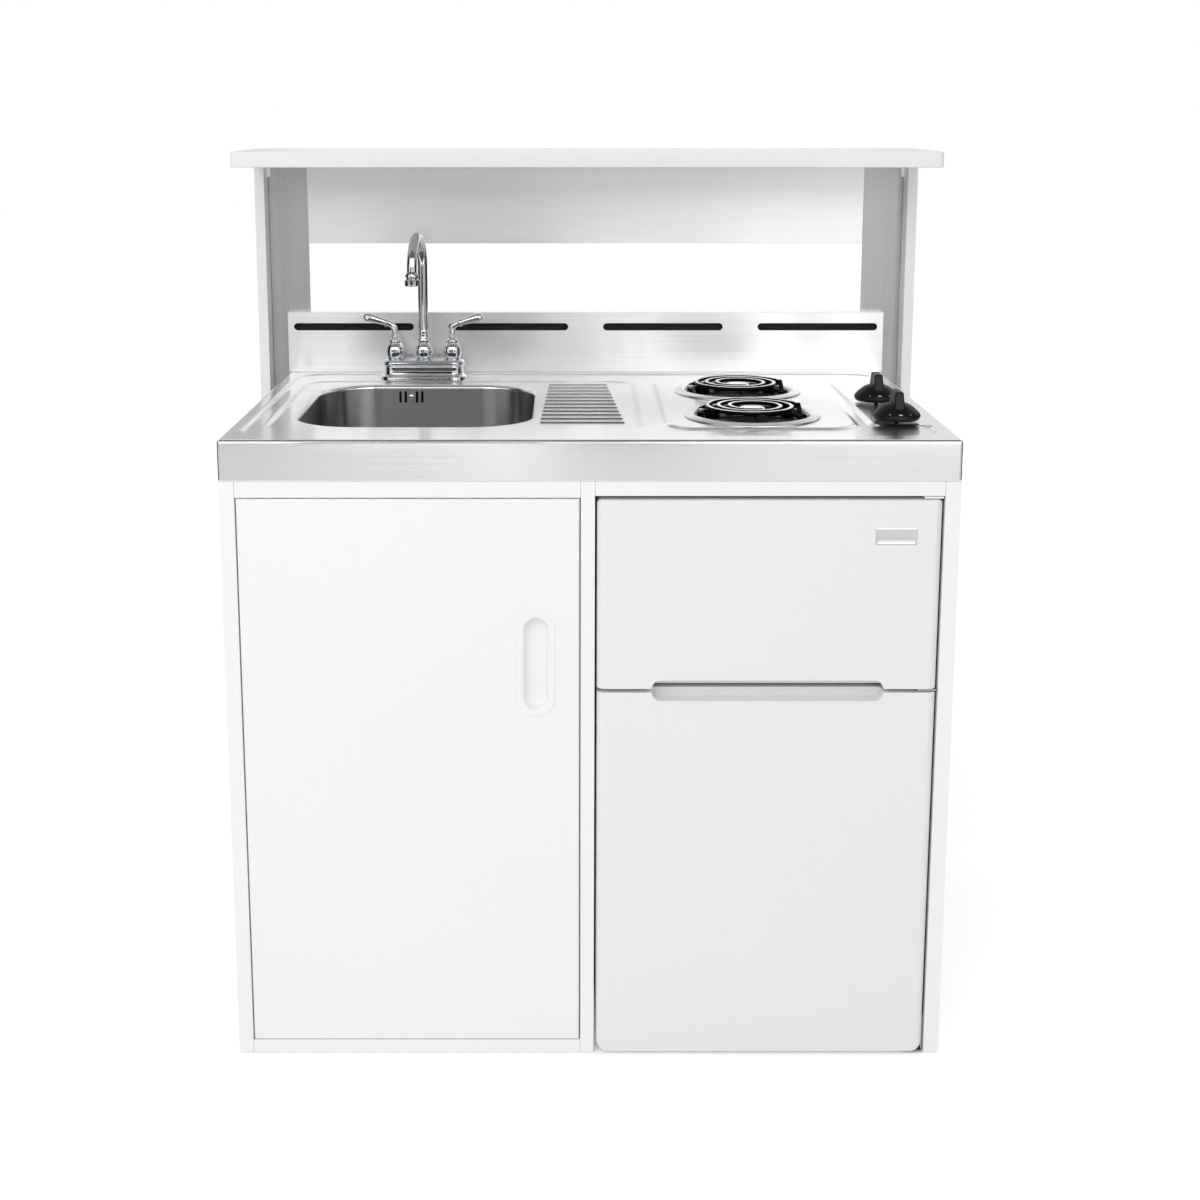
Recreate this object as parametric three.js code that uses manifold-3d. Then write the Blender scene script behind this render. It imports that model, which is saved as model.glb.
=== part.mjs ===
// Compact kitchenette: a pressed steel top with a sink, a drainer and two coil burners, on a white
// steel cabinet with an inset cupboard door and a two-door refrigerator, and a shelf frame behind it.
// Millimetres. X runs to the right, Y to the rear and Z up. The origin is on the floor, in the middle
// of the unit's width and depth. Depths named ..._F are distances behind the counter's front face.
import * as THREE from 'three';
import Module from 'manifold-3d';
import { mergeVertices } from 'three/addons/utils/BufferGeometryUtils.js';

const wasm = await Module();
wasm.setup();

// ---------------------------------------------------------------- driving dimensions
const WIDTH = 990;
const COUNTER_Z = 884;
const COUNTER_DEPTH = 640;
const APRON = 56;
const TOP_SHEET = 1.5;
const TOP_EDGE_RADIUS = 5;
const TOP_CORNER_RADIUS = 4;
const HEM = 15;
const PANEL_SHEET = 1.5;
const FIT = 0.3;

// pressed levels of the top
const PRESS_DEPTH = 3;
const SINK_PRESS = 2.5;
const SLOPE = 9;
const RIM_SIDE = 17;
const RIM_FRONT = 34;
const RIM_REAR = 32;
const FIELD_RADIUS = 48;
const SINK_SIDE = 23;
const SINK_WIDTH = 533;
const SINK_FRONT_F = 98;
const SINK_REAR_GAP = 94;
const SINK_RADIUS = 45;
const HOB_RIGHT_GAP = 125;
const HOB_WIDTH = 258;
const HOB_FRONT_F = 96;
const HOB_REAR_GAP = 118;
const HOB_RADIUS = 40;
const KNOB_PAD_WIDTH = 81;
const KNOB_PAD_FRONT_F = 120;
const KNOB_PAD_REAR_GAP = 117;
const KNOB_PAD_RADIUS = 16;

// bowl, drainer and waste
const BOWL_MARGIN = 30;
const BOWL_WIDTH = 350;
const BOWL_FRONT_F = 127;
const BOWL_REAR_GAP = 119;
const BOWL_RADIUS = 95;
const BOWL_DEPTH = 150;
const BOWL_SHEET = 1.2;
const BOWL_FLANGE = 12;
const BOWL_FLOOR_RADIUS = 26;
const BOWL_DRAFT = 5;
const RIB_COUNT = 12;
const RIB_PITCH = 31.8;
const RIB_WIDTH = 5;
const RIB_HEIGHT = 1.8;
const RIB_GAP = 4;
const RIB_FIRST_LENGTH = 124;
const RIB_LAST_LENGTH = 98;
const DRAIN_HOLE_RADIUS = 42;
const DRAIN_FLANGE_RADIUS = 54;
const DRAIN_CUP_RADIUS = 38;
const DRAIN_CUP_DEPTH = 42;
const DRAIN_TAIL_RADIUS = 22;
const DRAIN_TAIL = 34;
const DRAIN_WALL = 2;
const BASKET_DEPTH = 24;
const BASKET_FLOOR_RADIUS = 22;
const BASKET_SHEET = 1.4;
const BASKET_POST = 20;
const TRAP_RADIUS = 19;
const TRAP_BEND = 44;
const TRAP_DROP = 70;
const TRAP_RISE = 52;
const TRAP_TAIL_OUT = 16;
const OVERFLOW_X = -32;
const OVERFLOW_DROP = 25;
const OVERFLOW_SLOT = [4, 19];
const OVERFLOW_SLOT_OFFSETS = [-17.8, -9.2, 8.8, 17.5];
const OVERFLOW_BOX = [58, 22, 40];
const OVERFLOW_PIPE_RADIUS = 8;

// backsplash
const SPLASH_HEIGHT = 100;
const SPLASH_DEPTH = 20;
const VENT_COUNT = 4;
const VENT_LENGTH = 199;
const VENT_HEIGHT = 12;
const VENT_PITCH = 257;
const VENT_CENTRE = 76;
const SPLASH_LIP = 22;
const BAFFLE_INSET = 6;

// tap
const TAP_X = -16;
const TAP_BEFORE_REAR = 66;
const TAP_WIDTH = 142;
const TAP_DEPTH = 50;
const TAP_HEIGHT = 32;
const TAP_HALF_SPACING = 47;
const BONNET_RADIUS = 15;
const BONNET_HEIGHT = 28;
const SHANK_RADIUS = 9.5;
const SHANK_HOLE_RADIUS = 12.5;
const SHANK_LENGTH = 62;
const LEVER_REACH = 50;
const LEVER_RISE = 11;
const LEVER_NECK_RADIUS = 5;
const LEVER_TIP_RADIUS = 7.5;
const LEVER_ELBOW = 29;
const SPOUT_RADIUS = 7.8;
const SPOUT_BEND = 51;
const SPOUT_APEX = 239;
const SPOUT_TURN_DEG = -4.7;
const AERATOR_RADIUS = 11.5;
const AERATOR_HEIGHT = 22;

// burners
const BURNER_X_OFFSET = 122;
const BURNER_FRONT_F = 190;
const BURNER_PITCH = 222;
const BURNER_HOLE_RADIUS = 80;
const RING_OUTER_RADIUS = 97;
const RING_INNER_RADIUS = 82;
const RING_HEIGHT = 5;
const RING_SHEET = 1.2;
const PAN_FLANGE_RADIUS = 92;
const PAN_SHEET = 1;
const PAN_DEPTH = 25;
const PAN_FLOOR_RADIUS = 58;
const PAN_HOLE_RADIUS = 20;
const COIL_TOP = 17;
const COIL_WIRE_RADIUS = 3.4;
const COIL_OUTER_RADIUS = 71;
const COIL_INNER_RADIUS = 28;
const COIL_STEPS_PER_TURN = 24;
const COIL_WHOLE_TURNS = 2;
const COIL_LEAD_Y = 10;
const COIL_PLUG_Z = -10;
const COIL_PLUG_IN = 12;
const MEDALLION_RADIUS = 19;
const SPIDER_THICKNESS = 2;
const SPIDER_REACH = 84;
const SPIDER_ANGLES_DEG = [30, 150, 270];
const SOCKET_X = 100;
const SOCKET_SIZE = [26, 44, 19];
const SOCKET_MOUTH = [18, 32, 12];
const BURNER_BOX_SHEET = 1;
const BURNER_BOX_DEPTH = 67;
const BURNER_BOX_SIDE = 6;
const BURNER_BOX_FRONT_GAP = 91;
const BURNER_BOX_REAR_GAP = 100;

// knobs and switches
const KNOB_RIGHT_INSET = 63;
const KNOB_FRONT_F = 143;
const KNOB_PITCH = 166;
const KNOB_RADIUS = 33;
const KNOB_LIFT = 4;
const KNOB_RIM_RISE = 4.6;
const KNOB_DOME = 24;
const KNOB_GRIP_WIDTH = 15;
const KNOB_GRIP_HEIGHT = 44;
const KNOB_BORE_RADIUS = 3.3;
const SHAFT_RADIUS = 3;
const SHAFT_HOLE_RADIUS = 6;
const SHAFT_LENGTH = 24;
const SWITCH_SIZE = [38, 38, 26];

// cabinet
const CABINET_SET_BACK = 2;
const STILE = 20.5;
const STILE_RETURN = 14;
const REAR_FLANGE = 30;
const DIVIDER_STILE = 19;
const CUPBOARD_TOP_RAIL = 22.5;
const BAY_TOP_RAIL = 20;
const RAIL_FLANGE = 20;
const BOTTOM_RAIL = 20;
const SERVICE_HOLE = [260, 300];
const SERVICE_HOLE_OVER_PIPE = 60;
const LOUVRE_COUNT = 6;
const LOUVRE_SIZE = [300, 8];
const LOUVRE_PITCH = 24;
const LOUVRE_Z = 60;

// cupboard door
const DOOR_GAP = 1.5;
const DOOR_THICKNESS = 18;
const DOOR_LIP = 12;
const PIVOT_INSET = 5;
const PIVOT_RADIUS = 2.5;
const PIVOT_HOLE_RADIUS = 2.9;
const PIVOT_PIN = 8;
const PIVOT_PLATE = 1;
const PULL_INSET = 59;
const PULL_Z = 574;
const PULL_SIZE = [34, 130];
const PULL_FLANGE = 9;
const PULL_WALL = 1.6;
const PULL_DEPTH = 16;

// refrigerator
const DOOR_PROUD = 2;
const FRIDGE_WIDTH = 462.3;
const FRIDGE_SIDE_GAP = 2.6;
const FRIDGE_DOOR_THICKNESS = 38;
const FRIDGE_DOOR_RADIUS = 12;
const FRIDGE_DOOR_FOOT_RADIUS = 18;
const FREEZER_DOOR_TOP = 803;
const DOOR_SPLIT_Z = 537.5;
const DOOR_SPLIT_GAP = 5.5;
const FRIDGE_DOOR_FLOOR_GAP = 4.2;
const GASKET_THICKNESS = 7.4;
const GASKET_WIDTH = 12;
const GASKET_INSET = 18;
const CASE_TOP_Z = 804;
const CASE_BOTTOM_Z = 26;
const CASE_DEPTH = 500;
const CASE_WALL = 32;
const CASE_MID_WALL = 40;
const CASE_FLOOR_WALL = 36;
const HUMP_DEPTH = 165;
const HUMP_HEIGHT = 180;
const HUMP_WALL = 35;
const BASE_PLATE = 2;
const REAR_SKID = [24, 40];
const SCOOP_WIDTH = 315;
const SCOOP_HEIGHT = 12;
const SCOOP_DEPTH = 26;
const SCOOP_CENTRE_OFFSET = 1.5;
const HINGE_INSET = 12;
const HINGE_PIN_RADIUS = 4;
const HINGE_HOLE_RADIUS = 4.4;
const HINGE_PIN = 10;
const HINGE_PLATE = 2.6;
const HINGE_WIDTH = 26;
const SHELF_THICKNESS = 5;
const SHELF_LEDGE = [8, 6];
const SHELF_ZS = [300, 410];
const SHELF_SET_BACK = 30;
const RACK_SIZE = [344, 60, 62];
const RACK_WALL = 3;
const RACK_Z = 150;
const DIAL_RADIUS = 18;
const DIAL_THICKNESS = 12;
const DIAL_SPINDLE_RADIUS = 4;
const DIAL_SPINDLE = 9;
const DIAL_F_INTO_CASE = 90;
const DIAL_BELOW_CEILING = 34;
const COMPRESSOR_RADIUS = 58;
const COMPRESSOR_HEIGHT = 150;
const FOOT_RADIUS = 16;
const FOOT_INSET = 48;

// shelf frame
const FRAME_SIDE_GAP = 29;
const SIDE_THICKNESS = 16;
const SIDE_FRONT_F = 600;
const SHELF_UNDERSIDE_Z = 1228;
const SHELF_BOARD = 24;
const SHELF_BOARD_DEPTH = 266;
const SHELF_OVERHANG = 3;
const SHELF_CORNER_RADIUS = 9;
const POST_OVERLAP = 35.5;
const POST_NOTCH = [4, 22];
const VALANCE_HEIGHT = 131;
const FRAME_DEPTH = 38;

// ---------------------------------------------------------------- derived levels and places
const HALF = WIDTH / 2;
const DEPTH = DOOR_PROUD + COUNTER_DEPTH + FRAME_DEPTH;
const FRONT_Y = -DEPTH / 2 + DOOR_PROUD;
const REAR_Y = DEPTH / 2;
const COUNTER_REAR_Y = FRONT_Y + COUNTER_DEPTH;
const APRON_Z = COUNTER_Z - APRON;
const FIELD_Z = COUNTER_Z - PRESS_DEPTH;
const SINK_Z = FIELD_Z - SINK_PRESS;
const SINK_DEPTH = COUNTER_DEPTH - SINK_FRONT_F - SINK_REAR_GAP;
const HOB_DEPTH = COUNTER_DEPTH - HOB_FRONT_F - HOB_REAR_GAP;
const KNOB_PAD_DEPTH = COUNTER_DEPTH - KNOB_PAD_FRONT_F - KNOB_PAD_REAR_GAP;
const BOWL_LENGTH = COUNTER_DEPTH - BOWL_FRONT_F - BOWL_REAR_GAP;
const SINK_LEFT = -HALF + RIM_SIDE + SINK_SIDE;
const SINK_RIGHT = SINK_LEFT + SINK_WIDTH;
const HOB_RIGHT = HALF - HOB_RIGHT_GAP;
const HOB_LEFT = HOB_RIGHT - HOB_WIDTH;
const KNOB_PAD_LEFT = HALF - RIM_SIDE - KNOB_PAD_WIDTH;
const BOWL_LEFT = SINK_LEFT + BOWL_MARGIN;
const BOWL_RIGHT = BOWL_LEFT + BOWL_WIDTH;
const BOWL_FRONT = FRONT_Y + BOWL_FRONT_F;
const BOWL_REAR = BOWL_FRONT + BOWL_LENGTH;
const BOWL_X = (BOWL_LEFT + BOWL_RIGHT) / 2;
const BOWL_Y = (BOWL_FRONT + BOWL_REAR) / 2;
const BOWL_FLOOR_Z = SINK_Z - BOWL_DEPTH;

const CABINET_FRONT = FRONT_Y + CABINET_SET_BACK;
const CABINET_TOP = APRON_Z - FIT;
const BACK_FACE = COUNTER_REAR_Y - PANEL_SHEET - FIT;
const BACK_FRONT = BACK_FACE - PANEL_SHEET;
const BAY_RIGHT = HALF - STILE;
const BAY_LEFT = BAY_RIGHT - FRIDGE_WIDTH - 2 * FRIDGE_SIDE_GAP;
const CUPBOARD_LEFT = -HALF + STILE;
const CUPBOARD_RIGHT = BAY_LEFT - DIVIDER_STILE;
const RAIL_Z = CABINET_TOP - CUPBOARD_TOP_RAIL;

// ---------------------------------------------------------------- materials
const paint = (color, roughness, metalness) => new THREE.MeshStandardMaterial({ color, roughness, metalness });
const STAINLESS = paint('#c9ccce', 0.32, 1);
const CHROME = paint('#e4e6e8', 0.07, 1);
const WHITE_STEEL = paint('#f3f4f5', 0.42, 0);
const WHITE_DOOR = paint('#eceeef', 0.3, 0);
const WHITE_BOARD = paint('#f5f5f4', 0.5, 0);
const WHITE_LINER = paint('#eef1f2', 0.35, 0);
const BLACK_ENAMEL = paint('#0d0d0e', 0.12, 0);
const BLACK_PLASTIC = paint('#161617', 0.38, 0);
const DARK_STEEL = paint('#2a2a2c', 0.6, 0.5);
const ZINC_STEEL = paint('#a9acae', 0.4, 1);
const GREY_RUBBER = paint('#d9dcde', 0.7, 0);
const WHITE_PLASTIC = paint('#e9ebec', 0.45, 0);
const CERAMIC = paint('#e6dfd0', 0.6, 0);
const CLEAR_GLASS = paint('#cfe3df', 0.08, 0);

// ---------------------------------------------------------------- making solids
const unit = new THREE.Group();

// A closed three.js geometry becomes a solid whose faces point out.
function solid(geometry) {
  geometry.deleteAttribute('normal');
  geometry.deleteAttribute('uv');
  const merged = mergeVertices(geometry, 1e-4);
  const position = merged.getAttribute('position');
  const index = merged.index.array;
  const triangles = [];
  const [a, b, c] = [new THREE.Vector3(), new THREE.Vector3(), new THREE.Vector3()];
  let volume = 0;
  for (let i = 0; i < index.length; i += 3) {
    const [p, q, r] = [index[i], index[i + 1], index[i + 2]];
    if (p === q || q === r || r === p) continue;
    triangles.push(p, q, r);
    volume += a.fromBufferAttribute(position, p).dot(
      b.fromBufferAttribute(position, q).cross(c.fromBufferAttribute(position, r)));
  }
  if (volume < 0) triangles.reverse();
  return new wasm.Manifold(new wasm.Mesh({
    numProp: 3,
    vertProperties: new Float32Array(position.array),
    triVerts: new Uint32Array(triangles),
  }));
}

function box(x0, x1, y0, y1, z0, z1) {
  const geometry = new THREE.BoxGeometry(x1 - x0, y1 - y0, z1 - z0);
  return solid(geometry.translate((x0 + x1) / 2, (y0 + y1) / 2, (z0 + z1) / 2));
}

// A round bar between two points.
function rod(radius, from, to, segments = 16) {
  const [start, end] = [new THREE.Vector3(...from), new THREE.Vector3(...to)];
  const way = end.clone().sub(start);
  const geometry = new THREE.CylinderGeometry(radius, radius, way.length(), segments);
  const turn = new THREE.Quaternion().setFromUnitVectors(new THREE.Vector3(0, 1, 0), way.normalize());
  geometry.applyQuaternion(turn);
  const middle = start.add(end).multiplyScalar(0.5);
  return solid(geometry.translate(middle.x, middle.y, middle.z));
}

// A profile of [radius, height] points turned round a vertical axis through x, y.
function turned(profile, x, y, z, segments = 24) {
  const points = profile.map(([radius, height]) => new THREE.Vector2(radius, height));
  const geometry = new THREE.LatheGeometry(points, segments);
  return solid(geometry.rotateX(Math.PI / 2).translate(x, y, z));
}

// A flat outline swept straight along one axis. The outline's points are [y, z], [x, z] or [x, y].
function extrude(points, length) {
  const shape = new THREE.Shape(points.map(([u, v]) => new THREE.Vector2(u, v)));
  return new THREE.ExtrudeGeometry(shape, { depth: length, bevelEnabled: false });
}

function alongX(points, x0, x1) {
  const frame = new THREE.Matrix4().set(0, 0, 1, x0, 1, 0, 0, 0, 0, 1, 0, 0, 0, 0, 0, 1);
  return solid(extrude(points, x1 - x0).applyMatrix4(frame));
}

function alongY(points, y0, y1) {
  const frame = new THREE.Matrix4().set(1, 0, 0, 0, 0, 0, -1, y1, 0, 1, 0, 0, 0, 0, 0, 1);
  return solid(extrude(points, y1 - y0).applyMatrix4(frame));
}

function alongZ(points, z0, z1) {
  return solid(extrude(points, z1 - z0).translate(0, 0, z0));
}

// A rectangle with round corners, as points that run anticlockwise, with equal counts for any size.
function roundedLoop(x0, x1, y0, y1, radius, steps = 5) {
  const r = Math.min(radius, (x1 - x0) / 2, (y1 - y0) / 2);
  const centres = [[x1 - r, y1 - r], [x0 + r, y1 - r], [x0 + r, y0 + r], [x1 - r, y0 + r]];
  return centres.flatMap(([x, y], quarter) => Array.from({ length: steps + 1 }, (_, i) => {
    const angle = (quarter + i / steps) * Math.PI / 2;
    return [x + r * Math.cos(angle), y + r * Math.sin(angle)];
  }));
}

// A solid through a stack of loops with equal counts, each [points, z], from the lowest up.
function loft(levels) {
  const count = levels[0][0].length;
  const positions = levels.flatMap(([points, z]) => points.flatMap(([x, y]) => [x, y, z]));
  const index = [];
  for (let level = 0; level + 1 < levels.length; level++) {
    for (let i = 0; i < count; i++) {
      const a = level * count + i;
      const b = level * count + (i + 1) % count;
      index.push(a, b, b + count, a, b + count, a + count);
    }
  }
  const cap = (points) => THREE.ShapeUtils.triangulateShape(points.map(([x, y]) => new THREE.Vector2(x, y)), []);
  const last = levels.length - 1;
  cap(levels[0][0]).forEach(([a, b, c]) => index.push(c, b, a));
  cap(levels[last][0]).forEach(([a, b, c]) => index.push(last * count + a, last * count + b, last * count + c));
  const geometry = new THREE.BufferGeometry();
  geometry.setAttribute('position', new THREE.Float32BufferAttribute(positions, 3));
  geometry.setIndex(index);
  return solid(geometry);
}

// A round bar along a curve.
function sweep(curve, radius, sides, steps) {
  const ring = Array.from({ length: sides }, (_, i) => {
    const angle = (i / sides) * 2 * Math.PI;
    return new THREE.Vector2(radius * Math.cos(angle), radius * Math.sin(angle));
  });
  return new THREE.ExtrudeGeometry(new THREE.Shape(ring), { steps, extrudePath: curve, bevelEnabled: false });
}

const join = (first, ...others) => others.reduce((sum, other) => sum.add(other), first);
const cut = (first, ...others) => others.reduce((rest, other) => rest.subtract(other), first);

function piece(name, body, material) {
  const { vertProperties, triVerts } = body.getMesh();
  const geometry = new THREE.BufferGeometry();
  geometry.setAttribute('position', new THREE.BufferAttribute(vertProperties, 3));
  geometry.setIndex(new THREE.BufferAttribute(triVerts, 1));
  geometry.computeVertexNormals();
  const mesh = new THREE.Mesh(geometry, material);
  mesh.name = name;
  unit.add(mesh);
  return mesh;
}

// ---------------------------------------------------------------- the pressed stainless top
// One sheet: a raised rim all round, a field pressed down inside it, the sink's recess pressed
// deeper, and two pads left up at the rim's level, one under the burners and one under the knobs.
const BURNER_X = HOB_LEFT + BURNER_X_OFFSET;
const BURNERS = ['front', 'rear'].map((name, i) => (
  { name, x: BURNER_X, y: FRONT_Y + BURNER_FRONT_F + i * BURNER_PITCH }));
const KNOB_X = HALF - KNOB_RIGHT_INSET;
const KNOBS = ['front', 'rear'].map((name, i) => (
  { name, x: KNOB_X, y: FRONT_Y + KNOB_FRONT_F + i * KNOB_PITCH }));
const TAP_CENTRE_X = BOWL_X + TAP_X;
const TAP_Y = COUNTER_REAR_Y - TAP_BEFORE_REAR;
const OVERFLOW_CENTRE_X = BOWL_X + OVERFLOW_X;
const OVERFLOW_Z = COUNTER_Z - OVERFLOW_DROP;

// A pressing with sloping sides: full size at its top and SLOPE smaller all round at its floor.
function pressing(x0, x1, y0, y1, radius, floorZ, topZ) {
  const floor = roundedLoop(x0 + SLOPE, x1 - SLOPE, y0 + SLOPE, y1 - SLOPE, radius - SLOPE);
  const top = roundedLoop(x0, x1, y0, y1, radius);
  return loft([[floor, floorZ], [top, topZ], [top, topZ + 2 * PRESS_DEPTH]]);
}

// What a pad keeps of the field: SLOPE wider at the field than at its own top.
function pad(x0, x1, y0, y1, radius, floorZ, topZ) {
  const foot = roundedLoop(x0 - SLOPE, x1 + SLOPE, y0 - SLOPE, y1 + SLOPE, radius + SLOPE);
  const top = roundedLoop(x0, x1, y0, y1, radius);
  return loft([[foot, floorZ - 2 * PRESS_DEPTH], [foot, floorZ], [top, topZ], [top, topZ + 3 * PRESS_DEPTH]]);
}

// The top's outside when drop is 0, and the inside of the sheet when drop is its thickness.
function pressedBlock(drop) {
  const radius = TOP_EDGE_RADIUS - drop;
  const bottom = APRON_Z - drop;
  const edge = (inset) => roundedLoop(-HALF + drop + inset, HALF - drop - inset, FRONT_Y + drop + inset,
    COUNTER_REAR_Y - drop - inset, TOP_CORNER_RADIUS + inset, 3);
  const bend = [0, 1, 2, 3].map((i) => {
    const angle = (i / 3) * Math.PI / 2;
    return [edge(radius * (1 - Math.cos(angle))), COUNTER_Z - drop - radius * (1 - Math.sin(angle))];
  });
  const block = loft([[edge(0), bottom], ...bend]);
  const field = cut(
    pressing(-HALF + RIM_SIDE, HALF - RIM_SIDE, FRONT_Y + RIM_FRONT, COUNTER_REAR_Y - RIM_REAR,
      FIELD_RADIUS, FIELD_Z - drop, COUNTER_Z - drop),
    pad(HOB_LEFT, HOB_RIGHT, FRONT_Y + HOB_FRONT_F, FRONT_Y + HOB_FRONT_F + HOB_DEPTH,
      HOB_RADIUS, FIELD_Z - drop, COUNTER_Z - drop),
    pad(KNOB_PAD_LEFT, HALF + KNOB_PAD_WIDTH, FRONT_Y + KNOB_PAD_FRONT_F,
      FRONT_Y + KNOB_PAD_FRONT_F + KNOB_PAD_DEPTH, KNOB_PAD_RADIUS, FIELD_Z - drop, COUNTER_Z - drop));
  const sink = pressing(SINK_LEFT, SINK_RIGHT, FRONT_Y + SINK_FRONT_F, FRONT_Y + SINK_FRONT_F + SINK_DEPTH,
    SINK_RADIUS, SINK_Z - drop, FIELD_Z - drop);
  return cut(block, field, sink);
}

function hem() {
  const outer = box(-HALF + TOP_SHEET / 2, HALF - TOP_SHEET / 2, FRONT_Y + TOP_SHEET / 2,
    COUNTER_REAR_Y - TOP_SHEET / 2, APRON_Z, APRON_Z + TOP_SHEET);
  const inner = box(-HALF + HEM, HALF - HEM, FRONT_Y + HEM, COUNTER_REAR_Y - HEM,
    APRON_Z - 1, APRON_Z + TOP_SHEET + 1);
  return cut(outer, inner);
}

function drainerRibs() {
  const left = BOWL_RIGHT + RIB_GAP;
  const last = RIB_COUNT - 1;
  const firstY = FRONT_Y + SINK_FRONT_F + (SINK_DEPTH - last * RIB_PITCH) / 2 + 15;
  return Array.from({ length: RIB_COUNT }, (_, i) => {
    const length = RIB_FIRST_LENGTH + (RIB_LAST_LENGTH - RIB_FIRST_LENGTH) * i / last;
    const start = left + (RIB_FIRST_LENGTH - length) / 3;
    const y = firstY + i * RIB_PITCH;
    const low = roundedLoop(start, start + length, y - RIB_WIDTH / 2, y + RIB_WIDTH / 2, RIB_WIDTH / 2, 2);
    const high = roundedLoop(start + RIB_WIDTH / 3, start + length - RIB_WIDTH / 3, y - RIB_WIDTH / 6,
      y + RIB_WIDTH / 6, RIB_WIDTH / 6, 2);
    return loft([[low, SINK_Z - TOP_SHEET / 2], [low, SINK_Z], [high, SINK_Z + RIB_HEIGHT]]);
  });
}

const throughTop = (radius, x, y, segments) => (
  rod(radius, [x, y, APRON_Z], [x, y, COUNTER_Z + PRESS_DEPTH], segments));
const bowlLoop = (inset) => roundedLoop(BOWL_LEFT + inset, BOWL_RIGHT - inset, BOWL_FRONT + inset,
  BOWL_REAR - inset, BOWL_RADIUS - inset, 7);
const worktop = cut(
  join(cut(pressedBlock(0), pressedBlock(TOP_SHEET)), hem(), ...drainerRibs()),
  loft([[bowlLoop(0), APRON_Z], [bowlLoop(0), COUNTER_Z]]),
  ...BURNERS.map(({ x, y }) => throughTop(BURNER_HOLE_RADIUS, x, y, 32)),
  ...KNOBS.map(({ x, y }) => throughTop(SHAFT_HOLE_RADIUS, x, y, 12)),
  ...[-1, 1].map((side) => throughTop(SHANK_HOLE_RADIUS, TAP_CENTRE_X + side * TAP_HALF_SPACING, TAP_Y, 16)));
piece('worktop', worktop, STAINLESS);

// ---------------------------------------------------------------- sink bowl, drain and overflow
// The drawn bowl hangs by a flange under the top. Its walls lean in a little and turn into the
// floor through a round corner.
function bowlBlock(grow) {
  const turnStart = BOWL_FLOOR_Z + BOWL_FLOOR_RADIUS;
  const corner = [3, 2, 1, 0].map((i) => {
    const angle = (i / 3) * Math.PI / 2;
    const inset = BOWL_DRAFT + BOWL_FLOOR_RADIUS * Math.sin(angle);
    return [bowlLoop(inset - grow), turnStart - (BOWL_FLOOR_RADIUS + grow) * Math.cos(Math.PI / 2 - angle)];
  });
  return loft([...corner, [bowlLoop(-grow), SINK_Z - TOP_SHEET - FIT]]);
}

const bowlTop = SINK_Z - TOP_SHEET - FIT;
const bowlFlange = loft([[bowlLoop(-BOWL_FLANGE), bowlTop - BOWL_SHEET], [bowlLoop(-BOWL_FLANGE), bowlTop]]);
const bowlHollow = join(bowlBlock(0), loft([[bowlLoop(0), bowlTop - BOWL_SHEET], [bowlLoop(0), bowlTop + 1]]));
const overflowSlots = OVERFLOW_SLOT_OFFSETS.map((offset) => alongY(
  roundedLoop(OVERFLOW_CENTRE_X + offset - OVERFLOW_SLOT[0] / 2, OVERFLOW_CENTRE_X + offset + OVERFLOW_SLOT[0] / 2,
    OVERFLOW_Z - OVERFLOW_SLOT[1] / 2, OVERFLOW_Z + OVERFLOW_SLOT[1] / 2, OVERFLOW_SLOT[0] / 2, 3),
  BOWL_REAR - BOWL_DRAFT - 2, BOWL_REAR + 2 * BOWL_SHEET));
piece('sink_bowl', cut(join(bowlBlock(BOWL_SHEET), bowlFlange), bowlHollow,
  rod(DRAIN_HOLE_RADIUS, [BOWL_X, BOWL_Y, BOWL_FLOOR_Z - 9], [BOWL_X, BOWL_Y, BOWL_FLOOR_Z + 9], 32),
  ...overflowSlots), STAINLESS);

// The drain's body is a turned cup that hangs through the bowl's floor by its own flange.
const drainTop = BOWL_FLOOR_Z + FIT + DRAIN_WALL;
const drainTailZ = -DRAIN_WALL - DRAIN_CUP_DEPTH - DRAIN_TAIL;
piece('drain_body', turned([
  [DRAIN_TAIL_RADIUS - DRAIN_WALL, drainTailZ],
  [DRAIN_TAIL_RADIUS, drainTailZ],
  [DRAIN_TAIL_RADIUS, -DRAIN_CUP_DEPTH - DRAIN_WALL],
  [DRAIN_CUP_RADIUS, -DRAIN_CUP_DEPTH + 6],
  [DRAIN_CUP_RADIUS, -DRAIN_WALL],
  [DRAIN_FLANGE_RADIUS, -DRAIN_WALL],
  [DRAIN_FLANGE_RADIUS, -DRAIN_WALL / 2],
  [DRAIN_CUP_RADIUS, 0],
  [DRAIN_CUP_RADIUS - DRAIN_WALL, -DRAIN_WALL],
  [DRAIN_CUP_RADIUS - DRAIN_WALL, -DRAIN_CUP_DEPTH + 6 + DRAIN_WALL],
  [DRAIN_TAIL_RADIUS - DRAIN_WALL, -DRAIN_CUP_DEPTH],
  [DRAIN_TAIL_RADIUS - DRAIN_WALL, drainTailZ],
], BOWL_X, BOWL_Y, drainTop, 20), STAINLESS);

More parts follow.
